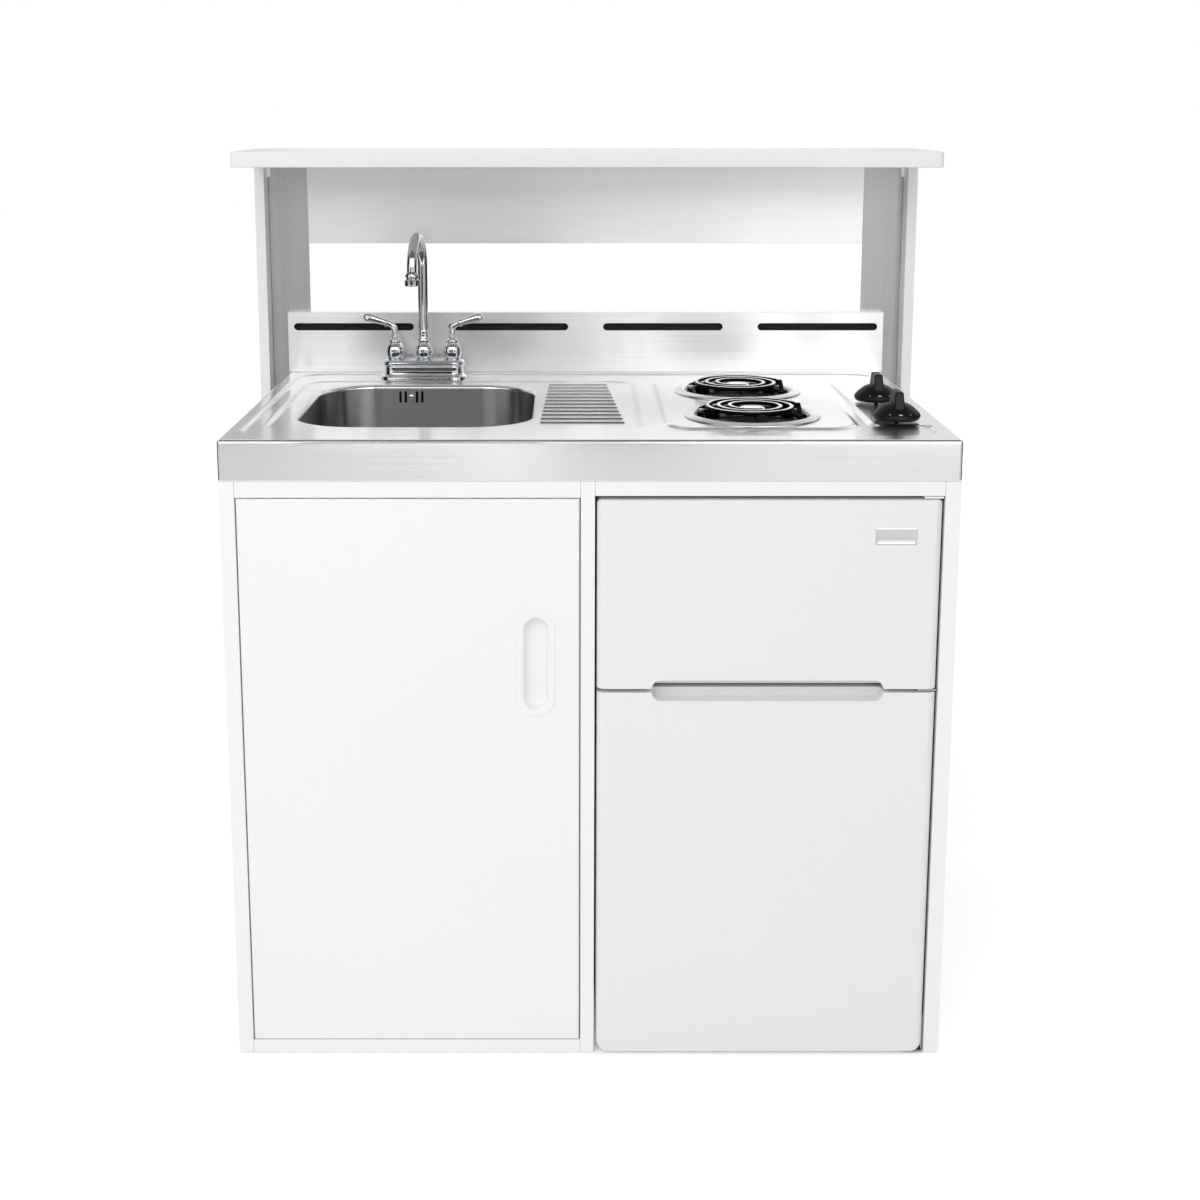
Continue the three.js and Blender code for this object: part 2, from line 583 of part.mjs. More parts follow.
// The basket lifts out by its post. Six holes in its floor let the water through.
const basketRim = DRAIN_CUP_RADIUS - DRAIN_WALL - 2 * FIT;
const basketZ = drainTop - DRAIN_WALL;
const basketCup = turned([
  [0, -BASKET_DEPTH],
  [BASKET_FLOOR_RADIUS, -BASKET_DEPTH],
  [basketRim, -6],
  [basketRim, 0],
  [basketRim - BASKET_SHEET, 0],
  [basketRim - BASKET_SHEET, -6],
  [BASKET_FLOOR_RADIUS - BASKET_SHEET / 2, -BASKET_DEPTH + BASKET_SHEET],
  [4, -BASKET_DEPTH + BASKET_SHEET],
  [4, -BASKET_DEPTH + BASKET_POST],
  [8, -BASKET_DEPTH + BASKET_POST + 2],
  [6, -BASKET_DEPTH + BASKET_POST + 6],
  [0, -BASKET_DEPTH + BASKET_POST + 7],
], BOWL_X, BOWL_Y, basketZ, 18);
const basketHoles = Array.from({ length: 6 }, (_, i) => {
  const angle = (i / 6) * 2 * Math.PI;
  const x = BOWL_X + 13 * Math.cos(angle);
  const y = BOWL_Y + 13 * Math.sin(angle);
  return rod(3, [x, y, basketZ - BASKET_DEPTH - 2], [x, y, basketZ - BASKET_DEPTH + 4], 8);
});
piece('basket_strainer', cut(basketCup, ...basketHoles), STAINLESS);

// The trap: down from the drain's tail, round its water seal and out to the rear.
const trapTop = drainTop + drainTailZ - FIT;
const trapLow = trapTop - TRAP_DROP;
const trapEnd = COUNTER_REAR_Y + TRAP_TAIL_OUT;
const trapPath = new THREE.CurvePath();
const trapPoint = (y, z) => new THREE.Vector3(BOWL_X, y, z);
const arc = (y, z, radius, from, to) => {
  const curve = new THREE.Curve();
  curve.getPoint = (t, target = new THREE.Vector3()) => {
    const angle = from + (to - from) * t;
    return target.set(BOWL_X, y + radius * Math.cos(angle), z + radius * Math.sin(angle));
  };
  return curve;
};
trapPath.add(new THREE.LineCurve3(trapPoint(BOWL_Y, trapTop), trapPoint(BOWL_Y, trapLow)));
trapPath.add(arc(BOWL_Y + TRAP_BEND, trapLow, TRAP_BEND, Math.PI, 2 * Math.PI));
trapPath.add(new THREE.LineCurve3(trapPoint(BOWL_Y + 2 * TRAP_BEND, trapLow),
  trapPoint(BOWL_Y + 2 * TRAP_BEND, trapLow + TRAP_RISE - TRAP_BEND)));
trapPath.add(arc(BOWL_Y + 3 * TRAP_BEND, trapLow + TRAP_RISE - TRAP_BEND, TRAP_BEND, Math.PI, Math.PI / 2));
trapPath.add(new THREE.LineCurve3(trapPoint(BOWL_Y + 3 * TRAP_BEND, trapLow + TRAP_RISE),
  trapPoint(trapEnd, trapLow + TRAP_RISE)));
const trapBar = solid(sweep(trapPath, TRAP_RADIUS, 8, 24));
const trapNut = rod(TRAP_RADIUS + 6, [BOWL_X, BOWL_Y, trapTop - 22], [BOWL_X, BOWL_Y, trapTop], 12);
const trapBore = rod(TRAP_RADIUS - 3, [BOWL_X, trapEnd - 24, trapLow + TRAP_RISE],
  [BOWL_X, trapEnd + 1, trapLow + TRAP_RISE], 10);
piece('waste_trap', cut(join(trapBar, trapNut), trapBore), WHITE_PLASTIC);

// The overflow's box stands behind the four slots, and its pipe runs down to the drain's cup.
const overflowFace = BOWL_REAR + BOWL_SHEET + FIT;
const overflowBox = box(OVERFLOW_CENTRE_X - OVERFLOW_BOX[0] / 2, OVERFLOW_CENTRE_X + OVERFLOW_BOX[0] / 2,
  overflowFace, overflowFace + OVERFLOW_BOX[1], OVERFLOW_Z - OVERFLOW_BOX[2] / 2 - 6,
  SINK_Z - TOP_SHEET - BOWL_SHEET - 2 * FIT - 1);
const overflowHollow = box(OVERFLOW_CENTRE_X - OVERFLOW_BOX[0] / 2 + 3, OVERFLOW_CENTRE_X + OVERFLOW_BOX[0] / 2 - 3,
  overflowFace - 1, overflowFace + OVERFLOW_BOX[1] - 3, OVERFLOW_Z - OVERFLOW_BOX[2] / 2 - 3,
  OVERFLOW_Z + OVERFLOW_SLOT[1] / 2 + 2);
const overflowPipeY = overflowFace + OVERFLOW_BOX[1] / 2;
const overflowEndY = BOWL_Y + DRAIN_CUP_RADIUS + FIT;
const overflowEndZ = drainTop - DRAIN_CUP_DEPTH / 2 - DRAIN_WALL;
const overflowRun = new THREE.CatmullRomCurve3([
  new THREE.Vector3(OVERFLOW_CENTRE_X, overflowPipeY, OVERFLOW_Z - OVERFLOW_BOX[2] / 2 - 5),
  new THREE.Vector3(OVERFLOW_CENTRE_X, overflowPipeY, BOWL_FLOOR_Z + 30),
  new THREE.Vector3((OVERFLOW_CENTRE_X + BOWL_X) / 2, overflowPipeY - 25, overflowEndZ - 8),
  new THREE.Vector3(BOWL_X, overflowEndY + 60, overflowEndZ),
  new THREE.Vector3(BOWL_X, overflowEndY, overflowEndZ),
]);
piece('overflow_pipe', cut(join(overflowBox, solid(sweep(overflowRun, OVERFLOW_PIPE_RADIUS, 8, 20))),
  overflowHollow), WHITE_PLASTIC);

// ---------------------------------------------------------------- backsplash
// A folded box with four vent slots, open behind, and a dark baffle sheet inside it.
const SPLASH_FRONT = COUNTER_REAR_Y - SPLASH_DEPTH;
const SPLASH_Z = COUNTER_Z + FIT;
const SPLASH_TOP = COUNTER_Z + SPLASH_HEIGHT;
const splashBack = COUNTER_REAR_Y - FIT;
const splashShell = cut(
  box(-HALF, HALF, SPLASH_FRONT, splashBack, SPLASH_Z, SPLASH_TOP),
  box(-HALF + TOP_SHEET, HALF - TOP_SHEET, SPLASH_FRONT + TOP_SHEET, splashBack - TOP_SHEET,
    SPLASH_Z + TOP_SHEET, SPLASH_TOP - TOP_SHEET),
  box(-HALF + TOP_SHEET, HALF - TOP_SHEET, splashBack - 2 * TOP_SHEET, splashBack + 1,
    SPLASH_Z + TOP_SHEET, SPLASH_TOP - SPLASH_LIP));
const vents = Array.from({ length: VENT_COUNT }, (_, i) => {
  const x = (i - (VENT_COUNT - 1) / 2) * VENT_PITCH;
  const z = COUNTER_Z + VENT_CENTRE;
  return alongY(roundedLoop(x - VENT_LENGTH / 2, x + VENT_LENGTH / 2, z - VENT_HEIGHT / 2, z + VENT_HEIGHT / 2,
    VENT_HEIGHT / 2, 4), SPLASH_FRONT - 1, SPLASH_FRONT + 2 * TOP_SHEET);
});
piece('backsplash', cut(splashShell, ...vents), STAINLESS);
piece('backsplash_baffle', box(-HALF + TOP_SHEET + FIT, HALF - TOP_SHEET - FIT, splashBack - BAFFLE_INSET - TOP_SHEET,
  splashBack - BAFFLE_INSET, SPLASH_Z + TOP_SHEET + FIT, SPLASH_TOP - TOP_SHEET - FIT), BLACK_PLASTIC);

// ---------------------------------------------------------------- tap
// The cast body has a flared foot, an urn-shaped bonnet under each lever and a hub for the spout,
// and its two threaded shanks pass down through the top.
const TAP_Z = FIELD_Z + FIT;
const tapTop = TAP_Z + TAP_HEIGHT;
const tapLoop = (inset) => roundedLoop(TAP_CENTRE_X - TAP_WIDTH / 2 + inset, TAP_CENTRE_X + TAP_WIDTH / 2 - inset,
  TAP_Y - TAP_DEPTH / 2 + inset, TAP_Y + TAP_DEPTH / 2 - inset, TAP_DEPTH / 2 - inset, 6);
const tapBase = loft([[0, 0], [0, 3], [2.5, 6], [5.5, 8], [6.5, 22], [4.5, 25], [4.5, 28], [7, TAP_HEIGHT]]
  .map(([inset, height]) => [tapLoop(inset), TAP_Z + height]));
const urn = [[0, -6], [BONNET_RADIUS - 3, -6], [BONNET_RADIUS - 3, 1], [BONNET_RADIUS - 1, 6],
  [BONNET_RADIUS, 14], [BONNET_RADIUS - 1.5, 21], [BONNET_RADIUS - 5, 26], [BONNET_RADIUS - 6, BONNET_HEIGHT],
  [0, BONNET_HEIGHT]];
const bonnets = [-1, 1].map((side) => turned(urn, TAP_CENTRE_X + side * TAP_HALF_SPACING, TAP_Y, tapTop, 14));
const spoutHub = turned(urn, TAP_CENTRE_X, TAP_Y, tapTop, 14);
const shanks = [-1, 1].map((side) => {
  const x = TAP_CENTRE_X + side * TAP_HALF_SPACING;
  return rod(SHANK_RADIUS, [x, TAP_Y, TAP_Z + 3 - SHANK_LENGTH], [x, TAP_Y, TAP_Z + 3], 12);
});
piece('faucet_body', join(tapBase, ...bonnets, spoutHub, ...shanks), CHROME);

// Turns a shape that lies in an X-Y plane at height z up into the X-Z plane at depth y.
function stand(geometry, y, z) {
  return geometry.translate(0, -y, -z).rotateX(Math.PI / 2).translate(0, y, z);
}

// Each lever stands on its bonnet, bends outwards and swells towards its round tip.
const LEVER_Z = tapTop + BONNET_HEIGHT + FIT;
function lever(side) {
  const x = TAP_CENTRE_X + side * TAP_HALF_SPACING;
  const collar = turned([[0, 0], [BONNET_RADIUS - 6, 0], [BONNET_RADIUS - 5.5, 3], [LEVER_NECK_RADIUS + 1, 6],
    [LEVER_NECK_RADIUS + 2, 9], [LEVER_NECK_RADIUS, 12], [0, 12]], x, TAP_Y, LEVER_Z, 12);
  const elbow = new THREE.QuadraticBezierCurve3(
    new THREE.Vector3(x, TAP_Y, LEVER_Z + 10),
    new THREE.Vector3(x, TAP_Y, LEVER_Z + LEVER_ELBOW),
    new THREE.Vector3(x + side * 14, TAP_Y, LEVER_Z + LEVER_ELBOW + 2));
  const neck = solid(sweep(elbow, LEVER_NECK_RADIUS, 8, 5));
  const reach = Math.hypot(LEVER_REACH - 12, LEVER_RISE);
  const grip = new THREE.LatheGeometry([[0, 0], [LEVER_NECK_RADIUS, 0], [LEVER_NECK_RADIUS + 1.5, 1],
    [LEVER_NECK_RADIUS + 1.5, 3], [LEVER_NECK_RADIUS, 4], [LEVER_TIP_RADIUS, reach - 8],
    [LEVER_TIP_RADIUS - 1, reach - 2], [LEVER_TIP_RADIUS - 4, reach + 1], [0, reach + 2]]
    .map(([radius, height]) => new THREE.Vector2(radius, height)), 10);
  grip.rotateZ(-side * (Math.PI / 2 - Math.atan2(LEVER_RISE, LEVER_REACH - 12)));
  grip.translate(x + side * 11, TAP_Y, LEVER_Z + LEVER_ELBOW + 1.3);
  // the lathe's upright axis now leans in the X-Y plane, so it is stood up into X-Z
  return join(collar, neck, solid(stand(grip, TAP_Y, LEVER_Z + LEVER_ELBOW + 1.3)));
}
piece('lever_hot', lever(-1), CHROME);
piece('lever_cold', lever(1), CHROME);

// The spout: a flared foot, an upright and a half circle, with the aerator on its end.
const SPOUT_Z = tapTop + BONNET_HEIGHT + FIT;
const bendZ = COUNTER_Z + SPOUT_APEX - SPOUT_RADIUS - SPOUT_BEND;
const spoutPath = new THREE.CurvePath();
spoutPath.add(new THREE.LineCurve3(new THREE.Vector3(0, 0, SPOUT_Z + 8), new THREE.Vector3(0, 0, bendZ)));
const gooseneck = new THREE.Curve();
gooseneck.getPoint = (t, target = new THREE.Vector3()) => (
  target.set(0, -SPOUT_BEND + SPOUT_BEND * Math.cos(Math.PI * t), bendZ + SPOUT_BEND * Math.sin(Math.PI * t)));
spoutPath.add(gooseneck);
const spoutTurn = (SPOUT_TURN_DEG * Math.PI) / 180;
const seatSpout = (geometry) => geometry.rotateZ(spoutTurn).translate(TAP_CENTRE_X, TAP_Y, 0);
const spoutTube = solid(seatSpout(sweep(spoutPath, SPOUT_RADIUS, 10, 22)));
const spoutFoot = turned([[0, 0], [SPOUT_RADIUS + 1, 0], [SPOUT_RADIUS + 2.5, 3], [SPOUT_RADIUS + 1.2, 9],
  [SPOUT_RADIUS - 0.2, 18], [0, 18]], TAP_CENTRE_X, TAP_Y, SPOUT_Z, 16);
piece('spout', join(spoutTube, spoutFoot), CHROME);

const aeratorProfile = [[0, -FIT], [SPOUT_RADIUS + 0.5, -FIT], [AERATOR_RADIUS - 1.5, -5], [AERATOR_RADIUS - 1, -8],
  [AERATOR_RADIUS - 2.5, -10], [AERATOR_RADIUS, -14], [AERATOR_RADIUS, -AERATOR_HEIGHT],
  [AERATOR_RADIUS - 2, -AERATOR_HEIGHT], [AERATOR_RADIUS - 2, -AERATOR_HEIGHT + 3], [0, -AERATOR_HEIGHT + 3]];
const aeratorShape = new THREE.LatheGeometry(aeratorProfile.map(([r, h]) => new THREE.Vector2(r, h)), 16);
aeratorShape.rotateX(Math.PI / 2).translate(0, -2 * SPOUT_BEND, bendZ);
piece('aerator', solid(seatSpout(aeratorShape)), CHROME);

// ---------------------------------------------------------------- burners
// Heights in a burner are counted from the pad that it sits on.
const PAD_Z = COUNTER_Z;
const coilZ = COIL_TOP - COIL_WIRE_RADIUS;
const coilBottom = coilZ - COIL_WIRE_RADIUS;
const PLUG_END_X = SOCKET_X + COIL_PLUG_IN;

// The heating element's centre line: in from its plug, up to the outer turn, round and round
// towards the middle, then down and out again under the turns to the plug.
function coilCentres() {
  const first = Math.asin((2 * COIL_LEAD_Y) / COIL_OUTER_RADIUS);
  const sweepAngle = 2 * Math.PI * COIL_WHOLE_TURNS + 1.5 * Math.PI - first;
  const steps = Math.round((sweepAngle / (2 * Math.PI)) * COIL_STEPS_PER_TURN);
  const turns = Array.from({ length: steps + 1 }, (_, i) => {
    const angle = first + (sweepAngle * i) / steps;
    const radius = COIL_OUTER_RADIUS + ((COIL_INNER_RADIUS - COIL_OUTER_RADIUS) * i) / steps;
    return [radius * Math.cos(angle), radius * Math.sin(angle), coilZ];
  });
  const under = coilBottom - COIL_WIRE_RADIUS - 1.6;
  const outerLead = [[PLUG_END_X, COIL_LEAD_Y, COIL_PLUG_Z], [SOCKET_X - 6, COIL_LEAD_Y, COIL_PLUG_Z],
    [SOCKET_X - 20, COIL_LEAD_Y, COIL_PLUG_Z], [COIL_OUTER_RADIUS + 1.3, COIL_LEAD_Y, COIL_PLUG_Z + 3.5],
    [COIL_OUTER_RADIUS - 1, COIL_LEAD_Y + 1, COIL_PLUG_Z + 11],
    [COIL_OUTER_RADIUS - 1.8, COIL_LEAD_Y + 4.5, coilZ - 4]];
  const innerLead = [[8, -COIL_INNER_RADIUS + 0.8, coilZ - 1], [18, -COIL_INNER_RADIUS + 6, coilZ - 5.6],
    [28, -COIL_LEAD_Y - 4, under + 0.4], [40, -COIL_LEAD_Y, under], [56, -COIL_LEAD_Y, under - 0.6],
    [66, -COIL_LEAD_Y, under - 5], [SOCKET_X - 25, -COIL_LEAD_Y, COIL_PLUG_Z + 2.5],
    [SOCKET_X - 16, -COIL_LEAD_Y, COIL_PLUG_Z], [PLUG_END_X, -COIL_LEAD_Y, COIL_PLUG_Z]];
  return [...outerLead, ...turns, ...innerLead].map(([x, y, z]) => new THREE.Vector3(x, y, z));
}

function coilCurve(centres, x, y) {
  const curve = new THREE.CatmullRomCurve3(centres.map((p) => p.clone().add(new THREE.Vector3(x, y, PAD_Z))));
  curve.getPointAt = (t, target) => curve.getPoint(t, target);
  curve.getTangentAt = (t, target) => curve.getTangent(t, target);
  return curve;
}

// The least gap between stretches of the element that are more than a few wire widths apart along it.
function leastGap(centres) {
  const curve = coilCurve(centres, 0, 0);
  const points = curve.getPoints(centres.length * 4);
  let least = Infinity;
  for (let i = 0; i < points.length; i++) {
    let run = 0;
    for (let k = i + 1; k < points.length; k++) {
      run += points[k].distanceTo(points[k - 1]);
      if (run > 8 * COIL_WIRE_RADIUS) least = Math.min(least, points[i].distanceTo(points[k]));
    }
  }
  return least - 2 * COIL_WIRE_RADIUS;
}

const centres = coilCentres();
console.log(`heating element: least gap to itself ${leastGap(centres).toFixed(2)} mm`);

// A ring of sheet that arches over the pan's flange and rests on the pad.
const ringProfile = [
  [RING_OUTER_RADIUS, FIT], [RING_OUTER_RADIUS - 1.5, RING_HEIGHT - 2], [RING_OUTER_RADIUS - 5, RING_HEIGHT],
  [RING_INNER_RADIUS + 4, RING_HEIGHT - 1], [RING_INNER_RADIUS, PAN_SHEET + 2 * FIT + RING_SHEET],
  [RING_INNER_RADIUS, PAN_SHEET + 2 * FIT], [RING_INNER_RADIUS + 4, RING_HEIGHT - 1 - RING_SHEET],
  [RING_OUTER_RADIUS - 5, RING_HEIGHT - RING_SHEET], [RING_OUTER_RADIUS - 2.7, RING_HEIGHT - 2 - RING_SHEET],
  [RING_OUTER_RADIUS - RING_SHEET, FIT], [RING_OUTER_RADIUS, FIT]];
const panWall = BURNER_HOLE_RADIUS - 2 * FIT;
const panProfile = [
  [PAN_FLANGE_RADIUS, FIT], [PAN_FLANGE_RADIUS, FIT + PAN_SHEET], [panWall - PAN_SHEET, FIT + PAN_SHEET],
  [panWall - PAN_SHEET - 4, -14], [PAN_FLOOR_RADIUS, -PAN_DEPTH + PAN_SHEET], [PAN_HOLE_RADIUS, -PAN_DEPTH + PAN_SHEET],
  [PAN_HOLE_RADIUS, -PAN_DEPTH], [PAN_FLOOR_RADIUS, -PAN_DEPTH], [panWall - 4, -14 - PAN_SHEET / 2],
  [panWall, FIT], [PAN_FLANGE_RADIUS, FIT]];

function spider(x, y) {
  const top = coilBottom - FIT;
  const foot = PAN_SHEET + 2 * FIT + RING_SHEET + 1 + FIT;
  const arms = SPIDER_ANGLES_DEG.map((degrees) => {
    const arm = new THREE.BoxGeometry(SPIDER_REACH, SPIDER_THICKNESS, top - foot);
    arm.translate(SPIDER_REACH / 2, 0, (top + foot) / 2).rotateZ((degrees * Math.PI) / 180);
    return solid(arm.translate(x, y, PAD_Z));
  });
  const medallion = turned([[0, foot + 1], [MEDALLION_RADIUS - 4, foot + 1], [MEDALLION_RADIUS, top - 1],
    [MEDALLION_RADIUS, top + 1.5], [MEDALLION_RADIUS - 2, top + 3], [0, top + 3.6]], x, y, PAD_Z, 24);
  return join(medallion, ...arms);
}

for (const { name, x, y } of BURNERS) {
  const lead = box(x + panWall - 20, x + panWall + 9, y - COIL_LEAD_Y - 7, y + COIL_LEAD_Y + 7,
    PAD_Z - PAN_DEPTH + 5, PAD_Z);
  piece(`drip_pan_${name}`, cut(turned(panProfile, x, y, PAD_Z, 28), lead), BLACK_ENAMEL);
  piece(`trim_ring_${name}`, turned(ringProfile, x, y, PAD_Z, 32), CHROME);
  piece(`coil_${name}`, solid(sweep(coilCurve(centres, x, y), COIL_WIRE_RADIUS, 6, centres.length - 1)), DARK_STEEL);
  piece(`coil_support_${name}`, spider(x, y), ZINC_STEEL);
  const socketTop = PAD_Z - TOP_SHEET - FIT;
  const [sx, sy, sz] = SOCKET_SIZE;
  const [mx, my, mz] = SOCKET_MOUTH;
  piece(`receptacle_${name}`, cut(
    box(x + SOCKET_X, x + SOCKET_X + sx, y - sy / 2, y + sy / 2, socketTop - sz, socketTop),
    box(x + SOCKET_X - 1, x + SOCKET_X + mx, y - my / 2, y + my / 2,
      PAD_Z + COIL_PLUG_Z - mz / 2, PAD_Z + COIL_PLUG_Z + mz / 2)), CERAMIC);
}

// A tray closes the burners in from below, over the refrigerator.
const trayTop = PAD_Z - TOP_SHEET - FIT;
const [trayX0, trayX1] = [HOB_LEFT + BURNER_BOX_SIDE, HOB_RIGHT - BURNER_BOX_SIDE];
const [trayY0, trayY1] = [BURNERS[0].y - BURNER_BOX_FRONT_GAP, BURNERS[1].y + BURNER_BOX_REAR_GAP];
const trayBlock = (inset, z0, z1) => {
  const loop = roundedLoop(trayX0 + inset, trayX1 - inset, trayY0 + inset, trayY1 - inset, HOB_RADIUS, 3);
  return loft([[loop, z0], [loop, z1]]);
};
piece('burner_box', cut(trayBlock(0, trayTop - BURNER_BOX_DEPTH, trayTop),
  trayBlock(BURNER_BOX_SHEET, trayTop - BURNER_BOX_DEPTH + BURNER_BOX_SHEET, trayTop + 1)), ZINC_STEEL);

// ---------------------------------------------------------------- knobs and their switches
function knob(x, y) {
  const [low, high] = [KNOB_LIFT, KNOB_LIFT + KNOB_DOME];
  const rim = low + KNOB_RIM_RISE;
  const dome = turned([[0, low], [KNOB_RADIUS - 5, low], [KNOB_RADIUS, rim], [KNOB_RADIUS - 1.4, rim + 4],
    [KNOB_RADIUS - 6, rim + 9], [KNOB_RADIUS - 14, high - 4], [0, high]], x, y, COUNTER_Z, 24);
  const half = KNOB_GRIP_WIDTH / 2;
  const side = [[-half - 1.5, high - 8], [half + 1.5, high - 8], [half, KNOB_GRIP_HEIGHT - 5],
    [half - 2, KNOB_GRIP_HEIGHT - 1], [0, KNOB_GRIP_HEIGHT], [-half + 2, KNOB_GRIP_HEIGHT - 1],
    [-half, KNOB_GRIP_HEIGHT - 5]].map(([u, v]) => [x + u, COUNTER_Z + v]);
  const reach = KNOB_RADIUS - 9;
  const ends = [[y - reach, COUNTER_Z + high - 8], [y + reach, COUNTER_Z + high - 8],
    [y + reach - 4, COUNTER_Z + high + 3], [y + reach - 10, COUNTER_Z + KNOB_GRIP_HEIGHT + 1],
    [y - reach + 10, COUNTER_Z + KNOB_GRIP_HEIGHT + 1], [y - reach + 4, COUNTER_Z + high + 3]];
  const grip = alongY(side, y - reach, y + reach).intersect(alongX(ends, x - KNOB_RADIUS, x + KNOB_RADIUS));
  const bore = rod(KNOB_BORE_RADIUS, [x, y, COUNTER_Z], [x, y, COUNTER_Z + SHAFT_LENGTH + FIT], 12);
  return cut(join(dome, grip), bore);
}

for (const { name, x, y } of KNOBS) {
  piece(`knob_${name}`, knob(x, y), BLACK_PLASTIC);
  const switchTop = COUNTER_Z - TOP_SHEET - FIT;
  const [wx, wy, wz] = SWITCH_SIZE;
  piece(`switch_${name}`, join(
    box(x - wx / 2, x + wx / 2, y - wy / 2, y + wy / 2, switchTop - wz, switchTop),
    rod(SHAFT_RADIUS, [x, y, switchTop - 1], [x, y, COUNTER_Z + SHAFT_LENGTH], 12)), BLACK_PLASTIC);
}

// ---------------------------------------------------------------- cabinet
// Folded white sheet. Each side has a face fold in front, a return behind it and a rear flange.
function sidePanel(side) {
  const x = (u) => side * (HALF - u);
  const outline = [[0, 0], [STILE, 0], [STILE, STILE_RETURN], [STILE - PANEL_SHEET, STILE_RETURN],
    [STILE - PANEL_SHEET, PANEL_SHEET], [PANEL_SHEET, PANEL_SHEET]]
    .map(([u, v]) => [x(u), CABINET_FRONT + v]);
  const rear = [[PANEL_SHEET, PANEL_SHEET], [REAR_FLANGE, PANEL_SHEET], [REAR_FLANGE, 0], [0, 0]]
    .map(([u, v]) => [x(u), COUNTER_REAR_Y - v]);
  return alongZ([...outline, ...rear], 0, CABINET_TOP);
}
piece('cabinet_left_side', sidePanel(-1), WHITE_STEEL);
piece('cabinet_right_side', sidePanel(1), WHITE_STEEL);

piece('cabinet_divider', alongZ([
  [CUPBOARD_RIGHT, CABINET_FRONT], [BAY_LEFT, CABINET_FRONT], [BAY_LEFT, BACK_FRONT - FIT],
  [BAY_LEFT - PANEL_SHEET, BACK_FRONT - FIT], [BAY_LEFT - PANEL_SHEET, CABINET_FRONT + PANEL_SHEET],
  [CUPBOARD_RIGHT + PANEL_SHEET, CABINET_FRONT + PANEL_SHEET],
  [CUPBOARD_RIGHT + PANEL_SHEET, CABINET_FRONT + STILE_RETURN], [CUPBOARD_RIGHT, CABINET_FRONT + STILE_RETURN],
], 0, CABINET_TOP), WHITE_STEEL);

// The floor is a tray whose front fold is the rail below the cupboard door.
const floorFront = CABINET_FRONT + STILE_RETURN + FIT;
piece('cabinet_floor', join(
  alongX([[CABINET_FRONT, 0], [CABINET_FRONT + PANEL_SHEET, 0],
    [CABINET_FRONT + PANEL_SHEET, BOTTOM_RAIL - PANEL_SHEET], [floorFront + 5, BOTTOM_RAIL - PANEL_SHEET],
    [floorFront + 5, BOTTOM_RAIL], [CABINET_FRONT, BOTTOM_RAIL]], CUPBOARD_LEFT + FIT, CUPBOARD_RIGHT - FIT),
  alongX([[floorFront, BOTTOM_RAIL - PANEL_SHEET], [BACK_FRONT - FIT - PANEL_SHEET, BOTTOM_RAIL - PANEL_SHEET],
    [BACK_FRONT - FIT - PANEL_SHEET, 0], [BACK_FRONT - FIT, 0], [BACK_FRONT - FIT, BOTTOM_RAIL],
    [floorFront, BOTTOM_RAIL]], -HALF + PANEL_SHEET + FIT, BAY_LEFT - PANEL_SHEET - FIT)), WHITE_STEEL);

const serviceTop = trapLow + TRAP_RISE + SERVICE_HOLE_OVER_PIPE;
const serviceHole = box(BOWL_X - SERVICE_HOLE[0] / 2, BOWL_X + SERVICE_HOLE[0] / 2, BACK_FRONT - 1, BACK_FACE + 1,
  serviceTop - SERVICE_HOLE[1], serviceTop);
const bayX = (BAY_LEFT + BAY_RIGHT) / 2;
const louvres = Array.from({ length: LOUVRE_COUNT }, (_, i) => box(bayX - LOUVRE_SIZE[0] / 2,
  bayX + LOUVRE_SIZE[0] / 2, BACK_FRONT - 1, BACK_FACE + 1, LOUVRE_Z + i * LOUVRE_PITCH,
  LOUVRE_Z + i * LOUVRE_PITCH + LOUVRE_SIZE[1]));
piece('cabinet_back', cut(box(-HALF + PANEL_SHEET + FIT, HALF - PANEL_SHEET - FIT, BACK_FRONT, BACK_FACE,
  0, CABINET_TOP), serviceHole, ...louvres), WHITE_STEEL);

function topRail(x0, x1, height) {
  const [y0, y1] = [CABINET_FRONT, CABINET_FRONT + RAIL_FLANGE];
  const z0 = CABINET_TOP - height;
  return alongX([[y0, z0], [y1, z0], [y1, z0 + PANEL_SHEET], [y0 + PANEL_SHEET, z0 + PANEL_SHEET],
    [y0 + PANEL_SHEET, CABINET_TOP - PANEL_SHEET], [y1, CABINET_TOP - PANEL_SHEET], [y1, CABINET_TOP],
    [y0, CABINET_TOP]], x0 + FIT, x1 - FIT);
}
piece('cupboard_top_rail', topRail(CUPBOARD_LEFT, CUPBOARD_RIGHT, CUPBOARD_TOP_RAIL), WHITE_STEEL);
piece('bay_top_rail', topRail(BAY_LEFT, BAY_RIGHT, BAY_TOP_RAIL), WHITE_STEEL);

// ---------------------------------------------------------------- cupboard door
// A pan of folded sheet, open behind, that turns on a pin at each end of its left edge.
const [doorX0, doorX1] = [CUPBOARD_LEFT + DOOR_GAP, CUPBOARD_RIGHT - DOOR_GAP];
const [doorZ0, doorZ1] = [BOTTOM_RAIL + DOOR_GAP, RAIL_Z - DOOR_GAP];
const [doorY0, doorY1] = [CABINET_FRONT, CABINET_FRONT + DOOR_THICKNESS];
const PIVOT_X = doorX0 + PIVOT_INSET;
const PIVOT_Y = doorY0 + PIVOT_INSET;
const pullX = doorX1 - PULL_INSET;
const pullLoop = (grow) => roundedLoop(pullX - PULL_SIZE[0] / 2 - grow, pullX + PULL_SIZE[0] / 2 + grow,
  PULL_Z - PULL_SIZE[1] / 2 - grow, PULL_Z + PULL_SIZE[1] / 2 + grow, PULL_SIZE[0] / 2 + grow, 6);
